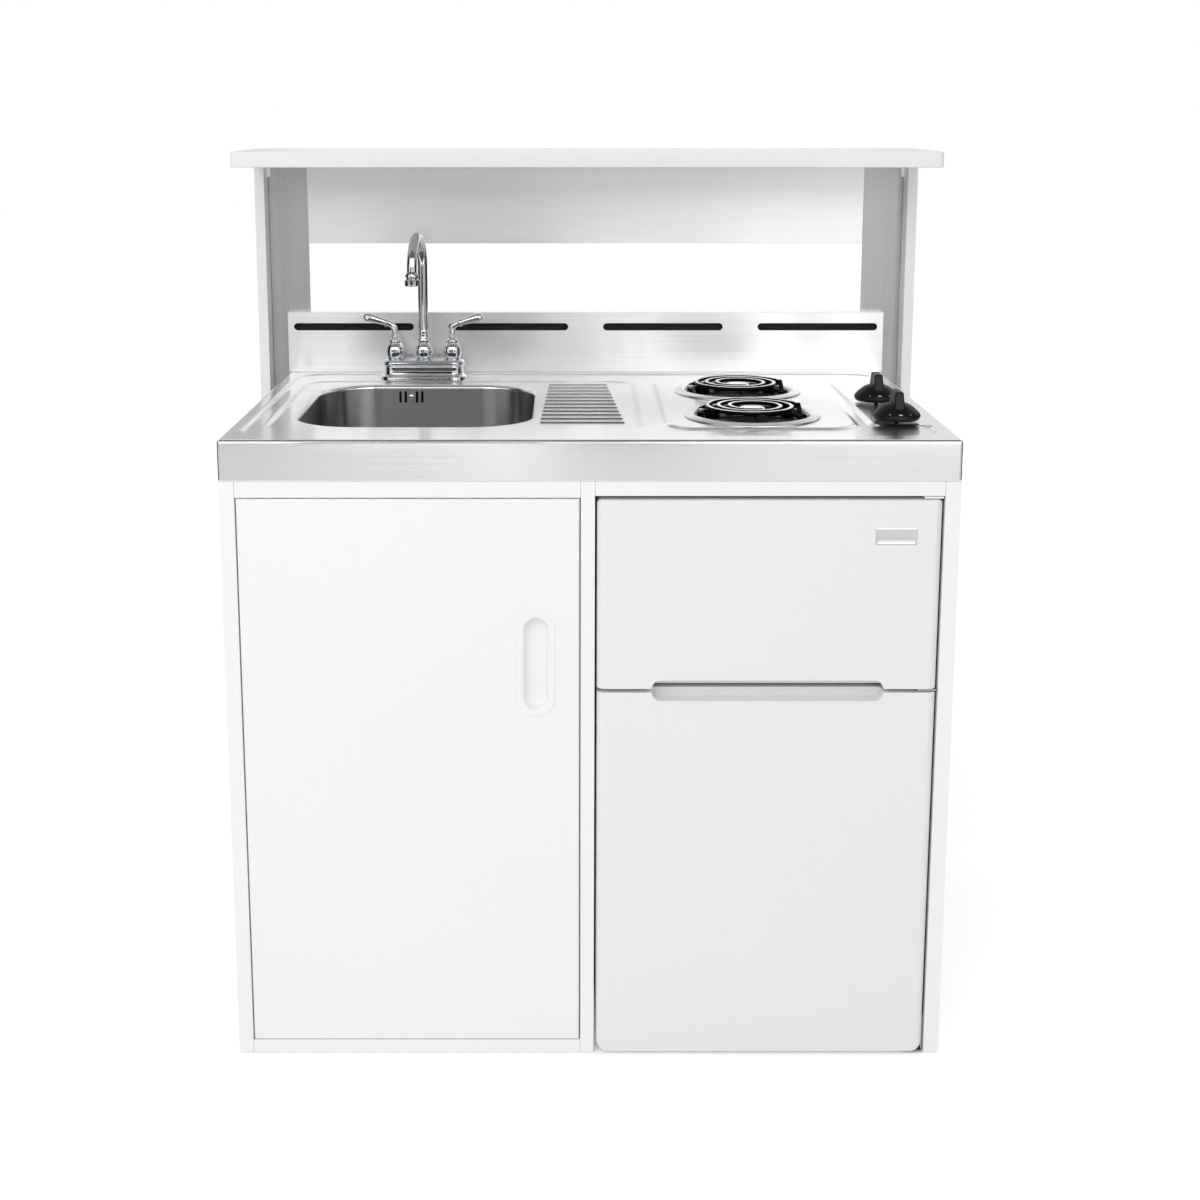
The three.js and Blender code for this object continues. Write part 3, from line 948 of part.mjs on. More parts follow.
const doorPan = cut(
  alongZ(roundedLoop(doorX0, doorX1, doorY0, doorY1 + 4, 3, 3), doorZ0, doorZ1),
  box(doorX0 - 1, doorX1 + 1, doorY1, doorY1 + 6, doorZ0 - 1, doorZ1 + 1),
  box(doorX0 + PANEL_SHEET, doorX1 - PANEL_SHEET, doorY0 + PANEL_SHEET, doorY1 - PANEL_SHEET,
    doorZ0 + PANEL_SHEET, doorZ1 - PANEL_SHEET),
  box(doorX0 + DOOR_LIP, doorX1 - DOOR_LIP, doorY0 + 2 * PANEL_SHEET, doorY1 + 1, doorZ0 + DOOR_LIP, doorZ1 - DOOR_LIP),
  alongY(pullLoop(PULL_WALL + FIT), doorY0 - 1, doorY0 + 2 * PANEL_SHEET),
  rod(PIVOT_HOLE_RADIUS, [PIVOT_X, PIVOT_Y, doorZ0 - 1], [PIVOT_X, PIVOT_Y, doorZ0 + PANEL_SHEET + 1], 12),
  rod(PIVOT_HOLE_RADIUS, [PIVOT_X, PIVOT_Y, doorZ1 - PANEL_SHEET - 1], [PIVOT_X, PIVOT_Y, doorZ1 + 1], 12));
piece('cabinet_door', doorPan, WHITE_STEEL);

piece('door_pull_cup', cut(
  join(alongY(pullLoop(PULL_FLANGE), doorY0 - FIT - PULL_WALL / 2, doorY0 - FIT),
    alongY(pullLoop(PULL_WALL), doorY0 - FIT - PULL_WALL / 2, doorY0 + PULL_DEPTH)),
  alongY(pullLoop(0), doorY0 - 5, doorY0 + PULL_DEPTH - PULL_WALL)), WHITE_PLASTIC);

const pivotPlate = (z) => box(CUPBOARD_LEFT + FIT, PIVOT_X + 9, PIVOT_Y - 4, PIVOT_Y + 9, z, z + PIVOT_PLATE);
const pivotSeat = (DOOR_GAP - PIVOT_PLATE) / 2;
piece('door_pivot_upper', join(pivotPlate(RAIL_Z - pivotSeat - PIVOT_PLATE),
  rod(PIVOT_RADIUS, [PIVOT_X, PIVOT_Y, RAIL_Z - DOOR_GAP - PIVOT_PIN],
    [PIVOT_X, PIVOT_Y, RAIL_Z - pivotSeat], 12)), ZINC_STEEL);
piece('door_pivot_lower', join(pivotPlate(BOTTOM_RAIL + pivotSeat),
  rod(PIVOT_RADIUS, [PIVOT_X, PIVOT_Y, BOTTOM_RAIL + pivotSeat],
    [PIVOT_X, PIVOT_Y, BOTTOM_RAIL + DOOR_GAP + PIVOT_PIN], 12)), ZINC_STEEL);

// ---------------------------------------------------------------- refrigerator
const [fridgeX0, fridgeX1] = [BAY_LEFT + FRIDGE_SIDE_GAP, BAY_RIGHT - FRIDGE_SIDE_GAP];
const fridgeFront = FRONT_Y - DOOR_PROUD;
const doorBack = fridgeFront + FRIDGE_DOOR_THICKNESS;
const caseFront = doorBack + GASKET_THICKNESS + 2 * FIT;
const caseRear = caseFront + CASE_DEPTH;
const [cellX0, cellX1] = [fridgeX0 + CASE_WALL, fridgeX1 - CASE_WALL];
const freezerFloor = DOOR_SPLIT_Z + CASE_MID_WALL / 2;
const fridgeCeiling = DOOR_SPLIT_Z - CASE_MID_WALL / 2;
const cellRear = caseRear - CASE_WALL;
const humpTop = CASE_BOTTOM_Z + HUMP_HEIGHT + HUMP_WALL;
const cellFloor = CASE_BOTTOM_Z + CASE_FLOOR_WALL;
const DIAL_Y = caseFront + DIAL_F_INTO_CASE;
const DIAL_Z = fridgeCeiling - DIAL_BELOW_CEILING;
const HINGE_X = fridgeX1 - HINGE_INSET;
const HINGE_Y = fridgeFront + HINGE_INSET;

// Foamed case: a freezer box over a refrigerator box that steps over the compressor's recess.
const shelfLedges = SHELF_ZS.flatMap((z) => [[cellX0 - 1, cellX0 + SHELF_LEDGE[0]], [cellX1 - SHELF_LEDGE[0], cellX1 + 1]]
  .map(([x0, x1]) => box(x0, x1, caseFront + SHELF_SET_BACK, cellRear + 1, z - SHELF_LEDGE[1], z)));
const skids = [fridgeX0 + FOOT_INSET, fridgeX1 - FOOT_INSET].map((x) => box(x - REAR_SKID[0] / 2,
  x + REAR_SKID[0] / 2, caseRear - REAR_SKID[1] - 10, caseRear - 10, 0, CASE_BOTTOM_Z + BASE_PLATE / 2));
const fridgeCase = join(cut(
  box(fridgeX0, fridgeX1, caseFront, caseRear, CASE_BOTTOM_Z, CASE_TOP_Z),
  box(cellX0, cellX1, caseFront - 1, cellRear, freezerFloor, CASE_TOP_Z - CASE_WALL),
  box(cellX0, cellX1, caseFront - 1, cellRear, humpTop, fridgeCeiling),
  box(cellX0, cellX1, caseFront - 1, caseRear - HUMP_DEPTH - HUMP_WALL, cellFloor, humpTop + 1),
  box(fridgeX0 + PANEL_SHEET * 2, fridgeX1 - PANEL_SHEET * 2, caseRear - HUMP_DEPTH, caseRear + 1,
    CASE_BOTTOM_Z + BASE_PLATE, CASE_BOTTOM_Z + HUMP_HEIGHT),
  rod(DIAL_SPINDLE_RADIUS + FIT, [cellX1 - 1, DIAL_Y, DIAL_Z], [cellX1 + DIAL_SPINDLE + FIT, DIAL_Y, DIAL_Z], 12)),
...shelfLedges, ...skids);
piece('fridge_case', fridgeCase, WHITE_LINER);

// A foamed door with rounded front edges and the scooped handle along one end.
function foamedDoor(z0, z1, scoopZ0, scoopZ1, outline) {
  const scoopX = (fridgeX0 + fridgeX1) / 2 + SCOOP_CENTRE_OFFSET;
  const scoop = alongY(roundedLoop(scoopX - SCOOP_WIDTH / 2, scoopX + SCOOP_WIDTH / 2, scoopZ0, scoopZ1,
    SCOOP_HEIGHT, 4), fridgeFront - 1, fridgeFront + SCOOP_DEPTH);
  const body = alongZ(roundedLoop(fridgeX0, fridgeX1, fridgeFront, doorBack + FRIDGE_DOOR_RADIUS,
    FRIDGE_DOOR_RADIUS, 4), z0, z1);
  return cut(body.intersect(outline), scoop,
    box(fridgeX0 - 1, fridgeX1 + 1, doorBack, doorBack + 2 * FRIDGE_DOOR_RADIUS, z0 - 1, z1 + 1));
}
const pinHole = (z0, z1) => rod(HINGE_HOLE_RADIUS, [HINGE_X, HINGE_Y, z0], [HINGE_X, HINGE_Y, z1], 12);
const freezerZ0 = DOOR_SPLIT_Z + DOOR_SPLIT_GAP / 2;
const freezerOutline = alongY(roundedLoop(fridgeX0, fridgeX1, freezerZ0 - 20, FREEZER_DOOR_TOP, 7, 3),
  fridgeFront - 1, doorBack + 1);
piece('freezer_door', cut(
  foamedDoor(freezerZ0, FREEZER_DOOR_TOP, freezerZ0 - SCOOP_HEIGHT, freezerZ0 + SCOOP_HEIGHT, freezerOutline),
  pinHole(freezerZ0 - 1, freezerZ0 + HINGE_PIN + 1), pinHole(FREEZER_DOOR_TOP - HINGE_PIN - 1, FREEZER_DOOR_TOP + 1)),
WHITE_DOOR);

const fridgeZ1 = DOOR_SPLIT_Z - DOOR_SPLIT_GAP / 2;
const fridgeOutline = alongY(roundedLoop(fridgeX0, fridgeX1, FRIDGE_DOOR_FLOOR_GAP, fridgeZ1 + 40,
  FRIDGE_DOOR_FOOT_RADIUS, 4), fridgeFront - 1, doorBack + 1);
piece('fridge_door', cut(
  foamedDoor(FRIDGE_DOOR_FLOOR_GAP, fridgeZ1, fridgeZ1 - SCOOP_HEIGHT, fridgeZ1 + SCOOP_HEIGHT, fridgeOutline),
  pinHole(FRIDGE_DOOR_FLOOR_GAP - 1, FRIDGE_DOOR_FLOOR_GAP + HINGE_PIN + 1),
  pinHole(fridgeZ1 - HINGE_PIN - 1, fridgeZ1 + 1)), WHITE_DOOR);

function gasket(z0, z1) {
  const [x0, x1] = [fridgeX0 + GASKET_INSET, fridgeX1 - GASKET_INSET];
  const [y0, y1] = [doorBack + FIT, doorBack + FIT + GASKET_THICKNESS];
  return cut(box(x0, x1, y0, y1, z0, z1),
    box(x0 + GASKET_WIDTH, x1 - GASKET_WIDTH, y0 - 1, y1 + 1, z0 + GASKET_WIDTH, z1 - GASKET_WIDTH));
}
piece('freezer_gasket', gasket(freezerZ0 + 7, FREEZER_DOOR_TOP - 7), GREY_RUBBER);
piece('fridge_gasket', gasket(CASE_BOTTOM_Z + 6, fridgeZ1 - 7), GREY_RUBBER);

// A bottle rack hooks on the door's inner face, between the gasket's sides.
const rackX = (fridgeX0 + fridgeX1) / 2;
const [rackW, rackD, rackH] = RACK_SIZE;
piece('door_rack', cut(
  box(rackX - rackW / 2, rackX + rackW / 2, doorBack + FIT, doorBack + FIT + rackD, RACK_Z, RACK_Z + rackH),
  box(rackX - rackW / 2 + RACK_WALL, rackX + rackW / 2 - RACK_WALL, doorBack + FIT + RACK_WALL,
    doorBack + FIT + rackD - RACK_WALL, RACK_Z + RACK_WALL, RACK_Z + rackH + 1)), WHITE_PLASTIC);

SHELF_ZS.forEach((z, i) => {
  piece(`fridge_shelf_${['lower', 'upper'][i]}`, box(cellX0 + FIT, cellX1 - FIT, caseFront + SHELF_SET_BACK + 8,
    cellRear - FIT, z + FIT, z + FIT + SHELF_THICKNESS), CLEAR_GLASS);
});

// Hinges: a plate on the case reaches out under or over each door and carries its pin.
const plateX0 = HINGE_X - HINGE_WIDTH / 2;
const plateX1 = Math.min(HINGE_X + HINGE_WIDTH / 2, fridgeX1);
const hingePlate = (z, rear) => box(plateX0, plateX1, HINGE_Y - 8, rear, z, z + HINGE_PLATE);
const hingePin = (z0, z1) => rod(HINGE_PIN_RADIUS, [HINGE_X, HINGE_Y, z0], [HINGE_X, HINGE_Y, z1], 12);
const topPlateZ = CASE_TOP_Z + FIT;
piece('hinge_top', join(hingePlate(topPlateZ, caseFront + 40),
  hingePin(FREEZER_DOOR_TOP - HINGE_PIN, topPlateZ + HINGE_PLATE / 2)), ZINC_STEEL);
const midPlateZ = DOOR_SPLIT_Z - HINGE_PLATE / 2;
const hingeFlange = (z0, z1) => box(plateX0 - 14, plateX1, caseFront - FIT - HINGE_PLATE, caseFront - FIT, z0, z1);
piece('hinge_middle', join(hingePlate(midPlateZ, caseFront - FIT), hingeFlange(midPlateZ - 4, midPlateZ + 6),
  hingePin(fridgeZ1 - HINGE_PIN, freezerZ0 + HINGE_PIN)), ZINC_STEEL);
const lowPlateZ = FRIDGE_DOOR_FLOOR_GAP - FIT - HINGE_PLATE;
piece('hinge_bottom', join(hingePlate(lowPlateZ, caseFront - FIT), hingeFlange(lowPlateZ, CASE_BOTTOM_Z + 5),
  hingePin(lowPlateZ + HINGE_PLATE / 2, FRIDGE_DOOR_FLOOR_GAP + HINGE_PIN)), ZINC_STEEL);

// The thermostat's dial turns on a spindle in the cell's right wall.
const dialFace = cellX1 - FIT;
piece('thermostat_dial', join(
  rod(DIAL_RADIUS, [dialFace - DIAL_THICKNESS, DIAL_Y, DIAL_Z], [dialFace, DIAL_Y, DIAL_Z], 20),
  box(dialFace - DIAL_THICKNESS - 6, dialFace - DIAL_THICKNESS + 1, DIAL_Y - 3, DIAL_Y + 3,
    DIAL_Z - DIAL_RADIUS + 3, DIAL_Z + DIAL_RADIUS - 3),
  rod(DIAL_SPINDLE_RADIUS, [dialFace - 1, DIAL_Y, DIAL_Z], [cellX1 + DIAL_SPINDLE, DIAL_Y, DIAL_Z], 12)),
WHITE_PLASTIC);

const compressorY = caseRear - HUMP_DEPTH / 2;
piece('compressor', turned([[0, 0], [COMPRESSOR_RADIUS - 8, 0], [COMPRESSOR_RADIUS - 8, 8], [COMPRESSOR_RADIUS, 14],
  [COMPRESSOR_RADIUS, 78], [COMPRESSOR_RADIUS + 3, 80], [COMPRESSOR_RADIUS + 3, 86], [COMPRESSOR_RADIUS, 88],
  [COMPRESSOR_RADIUS - 6, COMPRESSOR_HEIGHT - 24], [COMPRESSOR_RADIUS - 26, COMPRESSOR_HEIGHT - 5],
  [0, COMPRESSOR_HEIGHT]], rackX, compressorY, CASE_BOTTOM_Z + BASE_PLATE + FIT, 24), BLACK_PLASTIC);

['left', 'right'].forEach((name, i) => {
  const x = i === 0 ? fridgeX0 + FOOT_INSET : fridgeX1 - FOOT_INSET;
  piece(`fridge_foot_${name}`, turned([[0, 0], [FOOT_RADIUS - 1, 0], [FOOT_RADIUS, 2], [FOOT_RADIUS, 9],
    [FOOT_RADIUS - 8, 11], [FOOT_RADIUS - 10, CASE_BOTTOM_Z - FIT], [0, CASE_BOTTOM_Z - FIT]],
  x, caseFront + FOOT_INSET, 0, 16), BLACK_PLASTIC);
});

// ---------------------------------------------------------------- shelf frame
// It stands on the floor behind the unit: two side boards, two folded posts, a valance and a shelf.
const frameTop = SHELF_UNDERSIDE_Z - FIT;
const postFront = COUNTER_REAR_Y + FIT;
const FRAME_INNER = HALF + FRAME_SIDE_GAP;
const postInner = HALF - POST_OVERLAP;
for (const [name, side] of [['left', -1], ['right', 1]]) {
  const spanX = (u, v) => [side * u, side * v].sort((a, b) => a - b);
  const [boardX0, boardX1] = spanX(FRAME_INNER, FRAME_INNER + SIDE_THICKNESS);
  piece(`riser_side_${name}`, box(boardX0, boardX1, FRONT_Y + SIDE_FRONT_F, REAR_Y, 0, frameTop), WHITE_BOARD);
  const [faceX0, faceX1] = spanX(postInner, FRAME_INNER - FIT);
  const [webX0, webX1] = spanX(FRAME_INNER - FIT - PANEL_SHEET, FRAME_INNER - FIT);
  const [notchX0, notchX1] = spanX(FRAME_INNER - POST_NOTCH[0], FRAME_INNER + 1);
  piece(`riser_post_${name}`, cut(
    join(box(faceX0, faceX1, postFront, postFront + PANEL_SHEET, 0, frameTop),
      box(webX0, webX1, postFront, REAR_Y, 0, frameTop)),
    box(notchX0, notchX1, postFront - 1, REAR_Y - 6, frameTop - POST_NOTCH[1], frameTop + 1)), STAINLESS);
}
const valanceZ = SHELF_UNDERSIDE_Z - VALANCE_HEIGHT;
piece('riser_valance', alongX([
  [postFront, valanceZ], [REAR_Y - 4, valanceZ], [REAR_Y - 4, valanceZ + PANEL_SHEET],
  [postFront + PANEL_SHEET, valanceZ + PANEL_SHEET], [postFront + PANEL_SHEET, frameTop - PANEL_SHEET],
  [REAR_Y - 4, frameTop - PANEL_SHEET], [REAR_Y - 4, frameTop], [postFront, frameTop],
], -postInner + FIT, postInner - FIT), STAINLESS);

const shelfHalf = FRAME_INNER + SIDE_THICKNESS + SHELF_OVERHANG;
const shelfFront = REAR_Y - SHELF_BOARD_DEPTH;
const shelfLoop = (inset) => roundedLoop(-shelfHalf + inset, shelfHalf - inset, shelfFront + inset, REAR_Y - inset,
  SHELF_CORNER_RADIUS - inset, 4);
piece('riser_shelf', loft([[1, 0], [0, 1], [0, SHELF_BOARD - 2], [2, SHELF_BOARD]]
  .map(([inset, height]) => [shelfLoop(inset), SHELF_UNDERSIDE_Z + height])), WHITE_BOARD);

export default unit;
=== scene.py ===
import math

import bmesh
import bpy
from mathutils import Matrix, Vector


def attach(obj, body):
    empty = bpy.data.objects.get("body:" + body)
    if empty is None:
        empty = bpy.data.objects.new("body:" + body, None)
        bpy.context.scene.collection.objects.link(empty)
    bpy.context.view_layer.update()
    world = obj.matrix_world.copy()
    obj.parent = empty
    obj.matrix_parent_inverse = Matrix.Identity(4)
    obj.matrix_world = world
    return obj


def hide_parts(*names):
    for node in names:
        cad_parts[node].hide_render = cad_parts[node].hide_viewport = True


# A compact kitchenette seen from the front, a little above its worktop. Meshes are worked out in
# millimetres in the unit's own frame: X to the right, Y to the rear, Z up from the floor.
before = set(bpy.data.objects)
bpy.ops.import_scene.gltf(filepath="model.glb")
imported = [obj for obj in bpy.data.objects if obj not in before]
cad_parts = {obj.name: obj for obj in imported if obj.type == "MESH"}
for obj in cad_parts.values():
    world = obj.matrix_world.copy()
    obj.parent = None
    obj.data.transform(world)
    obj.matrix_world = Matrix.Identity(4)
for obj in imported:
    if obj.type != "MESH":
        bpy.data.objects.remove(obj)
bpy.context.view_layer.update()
MM = 0.001


# ---------------------------------------------------------------- Pressed steel top
# One sheet of brushed stainless steel, deep drawn: a raised rim, a sunk field, a deeper recess with
# twelve drainer ribs, high pads under the burners and the knobs, and an edge rolled down into the bowl.
# Brushing left to right gives it long soft streaks.
SAME_POINT = 0.002 * MM
CREASE = 35  # degrees: edges bent further than this stay crisp
TIGHTEST = 0.3
LEDGE = 1.5


def linear(hex_colour):
    """An sRGB hex value as the linear colour that a shader socket takes."""
    channels = (int(hex_colour[i : i + 2], 16) / 255 for i in (1, 3, 5))
    return tuple(c / 12.92 if c <= 0.04045 else ((c + 0.055) / 1.055) ** 2.4 for c in channels) + (1.0,)


def add(tree, kind, settings=None, links=None):
    """Adds one shader node, sets its sockets and properties, and links what feeds it."""
    made = tree.nodes.new(kind)
    for key, value in (settings or {}).items():
        if key in made.inputs.keys() or isinstance(key, int):
            made.inputs[key].default_value = value
        else:
            setattr(made, key, value)
    for key, source in (links or {}).items():
        tree.links.new(source, made.inputs[key])
    return made


def new_finish(name, **surface):
    """A new material and its surface shader, whose sockets take the values given."""
    material = bpy.data.materials.new(name)
    material.use_nodes = True
    tree = material.node_tree
    shader = tree.nodes["Principled BSDF"]
    for socket, value in surface.items():
        shader.inputs[socket.replace("_", " ").title().replace("Ior", "IOR")].default_value = value
    return material, tree, shader


def brushed_steel(name, light, dark, rough, along, across, pitch=0.8, smeared=0.6):
    """Brushed stainless sheet: hair lines along one axis, drawn several times as coarse as the real
    0.1 mm grit lines so that they show. Its reflections smear across them, in the direction given."""
    material, tree, shader = new_finish(name, metallic=1.0, anisotropic=smeared)
    line_length = 220
    place = add(tree, "ShaderNodeTexCoord").outputs["Object"]
    scale = [1 / (pitch * MM)] * 3
    scale[along] = 1 / (line_length * MM)
    lines = add(tree, "ShaderNodeMapping", {"Scale": scale}, {"Vector": place})
    scratches = add(tree, "ShaderNodeTexNoise", {"Scale": 1.0, "Detail": 3.0, "Roughness": 0.6},
                    {"Vector": lines.outputs["Vector"]}).outputs["Fac"]
    tone = add(tree, "ShaderNodeMapRange", {"From Min": 0.3, "From Max": 0.7}, {"Value": scratches})
    colour = add(tree, "ShaderNodeMix", {"data_type": "RGBA", 6: linear(dark), 7: linear(light)},
                 {0: tone.outputs["Result"]})
    grain = add(tree, "ShaderNodeMapRange",
                {"From Min": 0.3, "From Max": 0.7, "To Min": rough[0], "To Max": rough[1]},
                {"Value": scratches})
    bump = add(tree, "ShaderNodeBump", {"Strength": 0.05, "Distance": 0.0001}, {"Height": scratches})
    smear = add(tree, "ShaderNodeCombineXYZ", dict(zip("XYZ", across)))
    tree.links.new(colour.outputs[2], shader.inputs["Base Color"])
    tree.links.new(grain.outputs["Result"], shader.inputs["Roughness"])
    tree.links.new(bump.outputs["Normal"], shader.inputs["Normal"])
    tree.links.new(smear.outputs["Vector"], shader.inputs["Tangent"])
    return material


def outline(corners, inset=0.0, steps=8):
    """Points round a closed run of (x, y, radius) corners, drawn in by the inset, always equal in count."""
    points = []
    for i, (x, y, radius) in enumerate(corners):
        here = Vector((x, y))
        before = (Vector(corners[i - 1][:2]) - here).normalized()
        after = (Vector(corners[(i + 1) % len(corners)][:2]) - here).normalized()
        outward = before.x * after.y - before.y * after.x < 0
        hold = max(radius, inset + TIGHTEST) if outward else radius
        reach = hold - inset if outward else hold + inset
        centre = here + hold * (before + after)
        for step in range(steps + 1):
            angle = math.pi / 2 * step / steps
            points.append(centre - reach * (after * math.cos(angle) + before * math.sin(angle)))
    return points


def box_corners(x0, x1, y0, y1, radius):
    """The four rounded corners of an upright or level rectangle, for an outline."""
    return [(x0, y0, radius), (x1, y0, radius), (x1, y1, radius), (x0, y1, radius)]


def circle(x, y, radius, steps=48):
    """Points round a circle, for a ring."""
    return [(x + radius * math.cos(2 * math.pi * i / steps), y + radius * math.sin(2 * math.pi * i / steps))
            for i in range(steps)]


def ring(bm, points, z):
    """Joins points at one height into a closed loop, and gives back its vertices in order."""
    verts = [bm.verts.new((x * MM, y * MM, z * MM)) for x, y in points]
    for i in range(len(verts)):
        bm.edges.new((verts[i - 1], verts[i]))
    return verts


def skin(bm, rings):
    """Skins a row of loops with equal counts, point to point."""
    for first, second in zip(rings, rings[1:]):
        for i in range(len(first)):
            bm.faces.new((first[i - 1], first[i], second[i], second[i - 1]))


def flat(bm, *loops):
    """Fills the flat between one loop and those inside it."""
    edges = [bm.edges.get((loop[i - 1], loop[i])) for loop in loops for i in range(len(loop))]
    bmesh.ops.triangle_fill(bm, edges=edges, use_beauty=True, normal=(0, 0, 1))


def slope(bm, corners, start, run, high, low, steps=7):
    """Loops down a pressed slope with soft shoulders, and a narrow flat loop on either side of it."""
    ledge = LEDGE if run > 0 else -LEDGE
    rings = [ring(bm, outline(corners, start - ledge), high)]
    for i in range(steps + 1):
        share = i / steps
        z = high + (low - high) * (1 - math.cos(math.pi * share)) / 2
        rings.append(ring(bm, outline(corners, start + run * share), z))
    rings.append(ring(bm, outline(corners, start + run + ledge), low))
    skin(bm, rings)
    return rings[0], rings[-1]


def to_piece(bm, name, material, sharp=CREASE):
    """Makes the mesh an object at the origin, with doubles merged, faces outwards and curves smooth."""
    bmesh.ops.remove_doubles(bm, verts=bm.verts, dist=SAME_POINT)
    bmesh.ops.recalc_face_normals(bm, faces=bm.faces)
    mesh = bpy.data.meshes.new(name)
    bm.to_mesh(mesh)
    bm.free()
    mesh.shade_smooth()
    mesh.set_sharp_from_angle(angle=math.radians(sharp))
    mesh.materials.append(material)
    made = bpy.data.objects.new(name, mesh)
    bpy.context.scene.collection.objects.link(made)
    return made


def even_out(made):
    """Weights the shading by face area, so that flats stay flat beside their rounded edges."""
    made.modifiers.new("even", "WEIGHTED_NORMAL").keep_sharp = True


def thicken(made, name, thickness):
    """Gives an open skin its wall, on the side that its faces turn their backs to."""
    wall = made.modifiers.new(name, "SOLIDIFY")
    wall.thickness = thickness * MM
    wall.offset = -1
    even_out(made)


def upward_sheet(bm, name, material, thickness):
    """A pressed sheet seen from above: its faces look up, and its thickness lies below them."""
    made = to_piece(bm, name, material)
    if sum(face.normal.z * face.area for face in made.data.polygons) < 0:
        made.data.flip_normals()
    thicken(made, "sheet", thickness)
    return made


def fit(made, body, slot, *nodes):
    """Joins a finished piece to its CAD body and hides the CAD nodes that it stands for; the slot is not used.
    """
    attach(made, body)
    if nodes:
        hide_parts(*nodes)


steel_brushed_x = brushed_steel("stainless sheet, brushed left to right", "#f8f8f8", "#f0f1f2", (0.18, 0.24),
                                along=0, across=(0, 1, 1))

RIM_Z, FIELD_Z, SINK_Z, APRON_Z = 884, 881, 878.5, 828
TOP_SHEET, EDGE_RADIUS, PRESS_RUN, ROLL = 1.3, 5, 9, 7
TOP_OUTER = box_corners(-495, 495, -338, 302, 4)
FIELD = [(-478, -304, 48), (478, -304, 48), (478, -218, 16), (397, -218, 16),
         (397, 185, 16), (478, 185, 16), (478, 270, 48), (-478, 270, 48)]
SINK_RECESS = box_corners(-455, 78, -240, 208, 45)
HOB_PAD = box_corners(112, 370, -242, 184, 40)
BOWL = box_corners(-425, -75, -211, 183, 95)
BURNERS = {"front": (234, -148), "rear": (234, 74)}
KNOBS = {"front": (432, -195), "rear": (432, -29)}
TAP_X, TAP_Y, TAP_HALF_SPACING = -266, 236, 47
SHAFT_HOLE, SHANK_HOLE = 6, 12.5
BURNER_HOLE = [(83, RIM_Z), (81, RIM_Z), (80, RIM_Z - 1), (80, RIM_Z - 1.8)]

bm = bmesh.new()
apron = [ring(bm, outline(TOP_OUTER, inset, 6), z)
         for inset, z in [(15, APRON_Z), (1.5, APRON_Z), (0, APRON_Z + 1.5), (0, 845), (0, 870)]]
for degrees in range(0, 91, 15):
    turn = math.radians(degrees)
    apron.append(ring(bm, outline(TOP_OUTER, EDGE_RADIUS * (1 - math.cos(turn)), 6),
                      RIM_Z - EDGE_RADIUS * (1 - math.sin(turn))))
apron.append(ring(bm, outline(TOP_OUTER, EDGE_RADIUS + 2, 6), RIM_Z))
skin(bm, apron)
field_top, field_floor = slope(bm, FIELD, -0.5, PRESS_RUN, RIM_Z, FIELD_Z)
flat(bm, apron[-1], field_top, *[ring(bm, circle(x, y, SHAFT_HOLE, 16), RIM_Z) for x, y in KNOBS.values()])
hob_top, hob_foot = slope(bm, HOB_PAD, 0.5, -PRESS_RUN, RIM_Z, FIELD_Z)
sink_rim, sink_floor = slope(bm, SINK_RECESS, -0.5, PRESS_RUN + 1, FIELD_Z, SINK_Z)
tap_holes = [ring(bm, circle(TAP_X + side * TAP_HALF_SPACING, TAP_Y, SHANK_HOLE, 24), FIELD_Z)
             for side in (-1, 1)]
flat(bm, field_floor, hob_foot, sink_rim, *tap_holes)
burner_rims = []
for x, y in BURNERS.values():
    rims = [ring(bm, circle(x, y, radius), z) for radius, z in BURNER_HOLE]
    skin(bm, rims)
    burner_rims.append(rims[0])
flat(bm, hob_top, *burner_rims)

# Drainer ribs: low rounded ridges that start beside the bowl and shorten towards the rear.
RIB_COUNT, RIB_HALF, RIB_PITCH, RIB_FIRST_Y, RIB_LEFT = 12, 4, 31.8, -175.9, -71
RIB_LONGEST, RIB_SHORTEST = 124, 98
RIB_FLANK = [(0, 0), (0.7, 0.2), (1.5, 0.9), (2.3, 1.7), (3.0, 2.15), (3.6, 2.3)]
ribs = []
for i in range(RIB_COUNT):
    length = RIB_LONGEST - (RIB_LONGEST - RIB_SHORTEST) * i / (RIB_COUNT - 1)
    x = RIB_LEFT + (RIB_LONGEST - length) / 3
    y = RIB_FIRST_Y + RIB_PITCH * i
    rib = box_corners(x, x + length, y - RIB_HALF, y + RIB_HALF, RIB_HALF - 0.1)
    rings = [ring(bm, outline(rib, inset, 4), SINK_Z + height) for inset, height in RIB_FLANK]
    skin(bm, rings)
    flat(bm, rings[-1])
    ribs.append(rings[0])

roll = [ring(bm, outline(BOWL, -2), SINK_Z)]
for degrees in range(0, 91, 15):
    turn = math.radians(degrees)
    roll.append(ring(bm, outline(BOWL, ROLL * math.sin(turn)), SINK_Z - ROLL * (1 - math.cos(turn))))
skin(bm, roll)
flat(bm, sink_floor, roll[0], *ribs)
fit(upward_sheet(bm, "steel_top", steel_brushed_x, TOP_SHEET), "base", "stainless", "worktop")


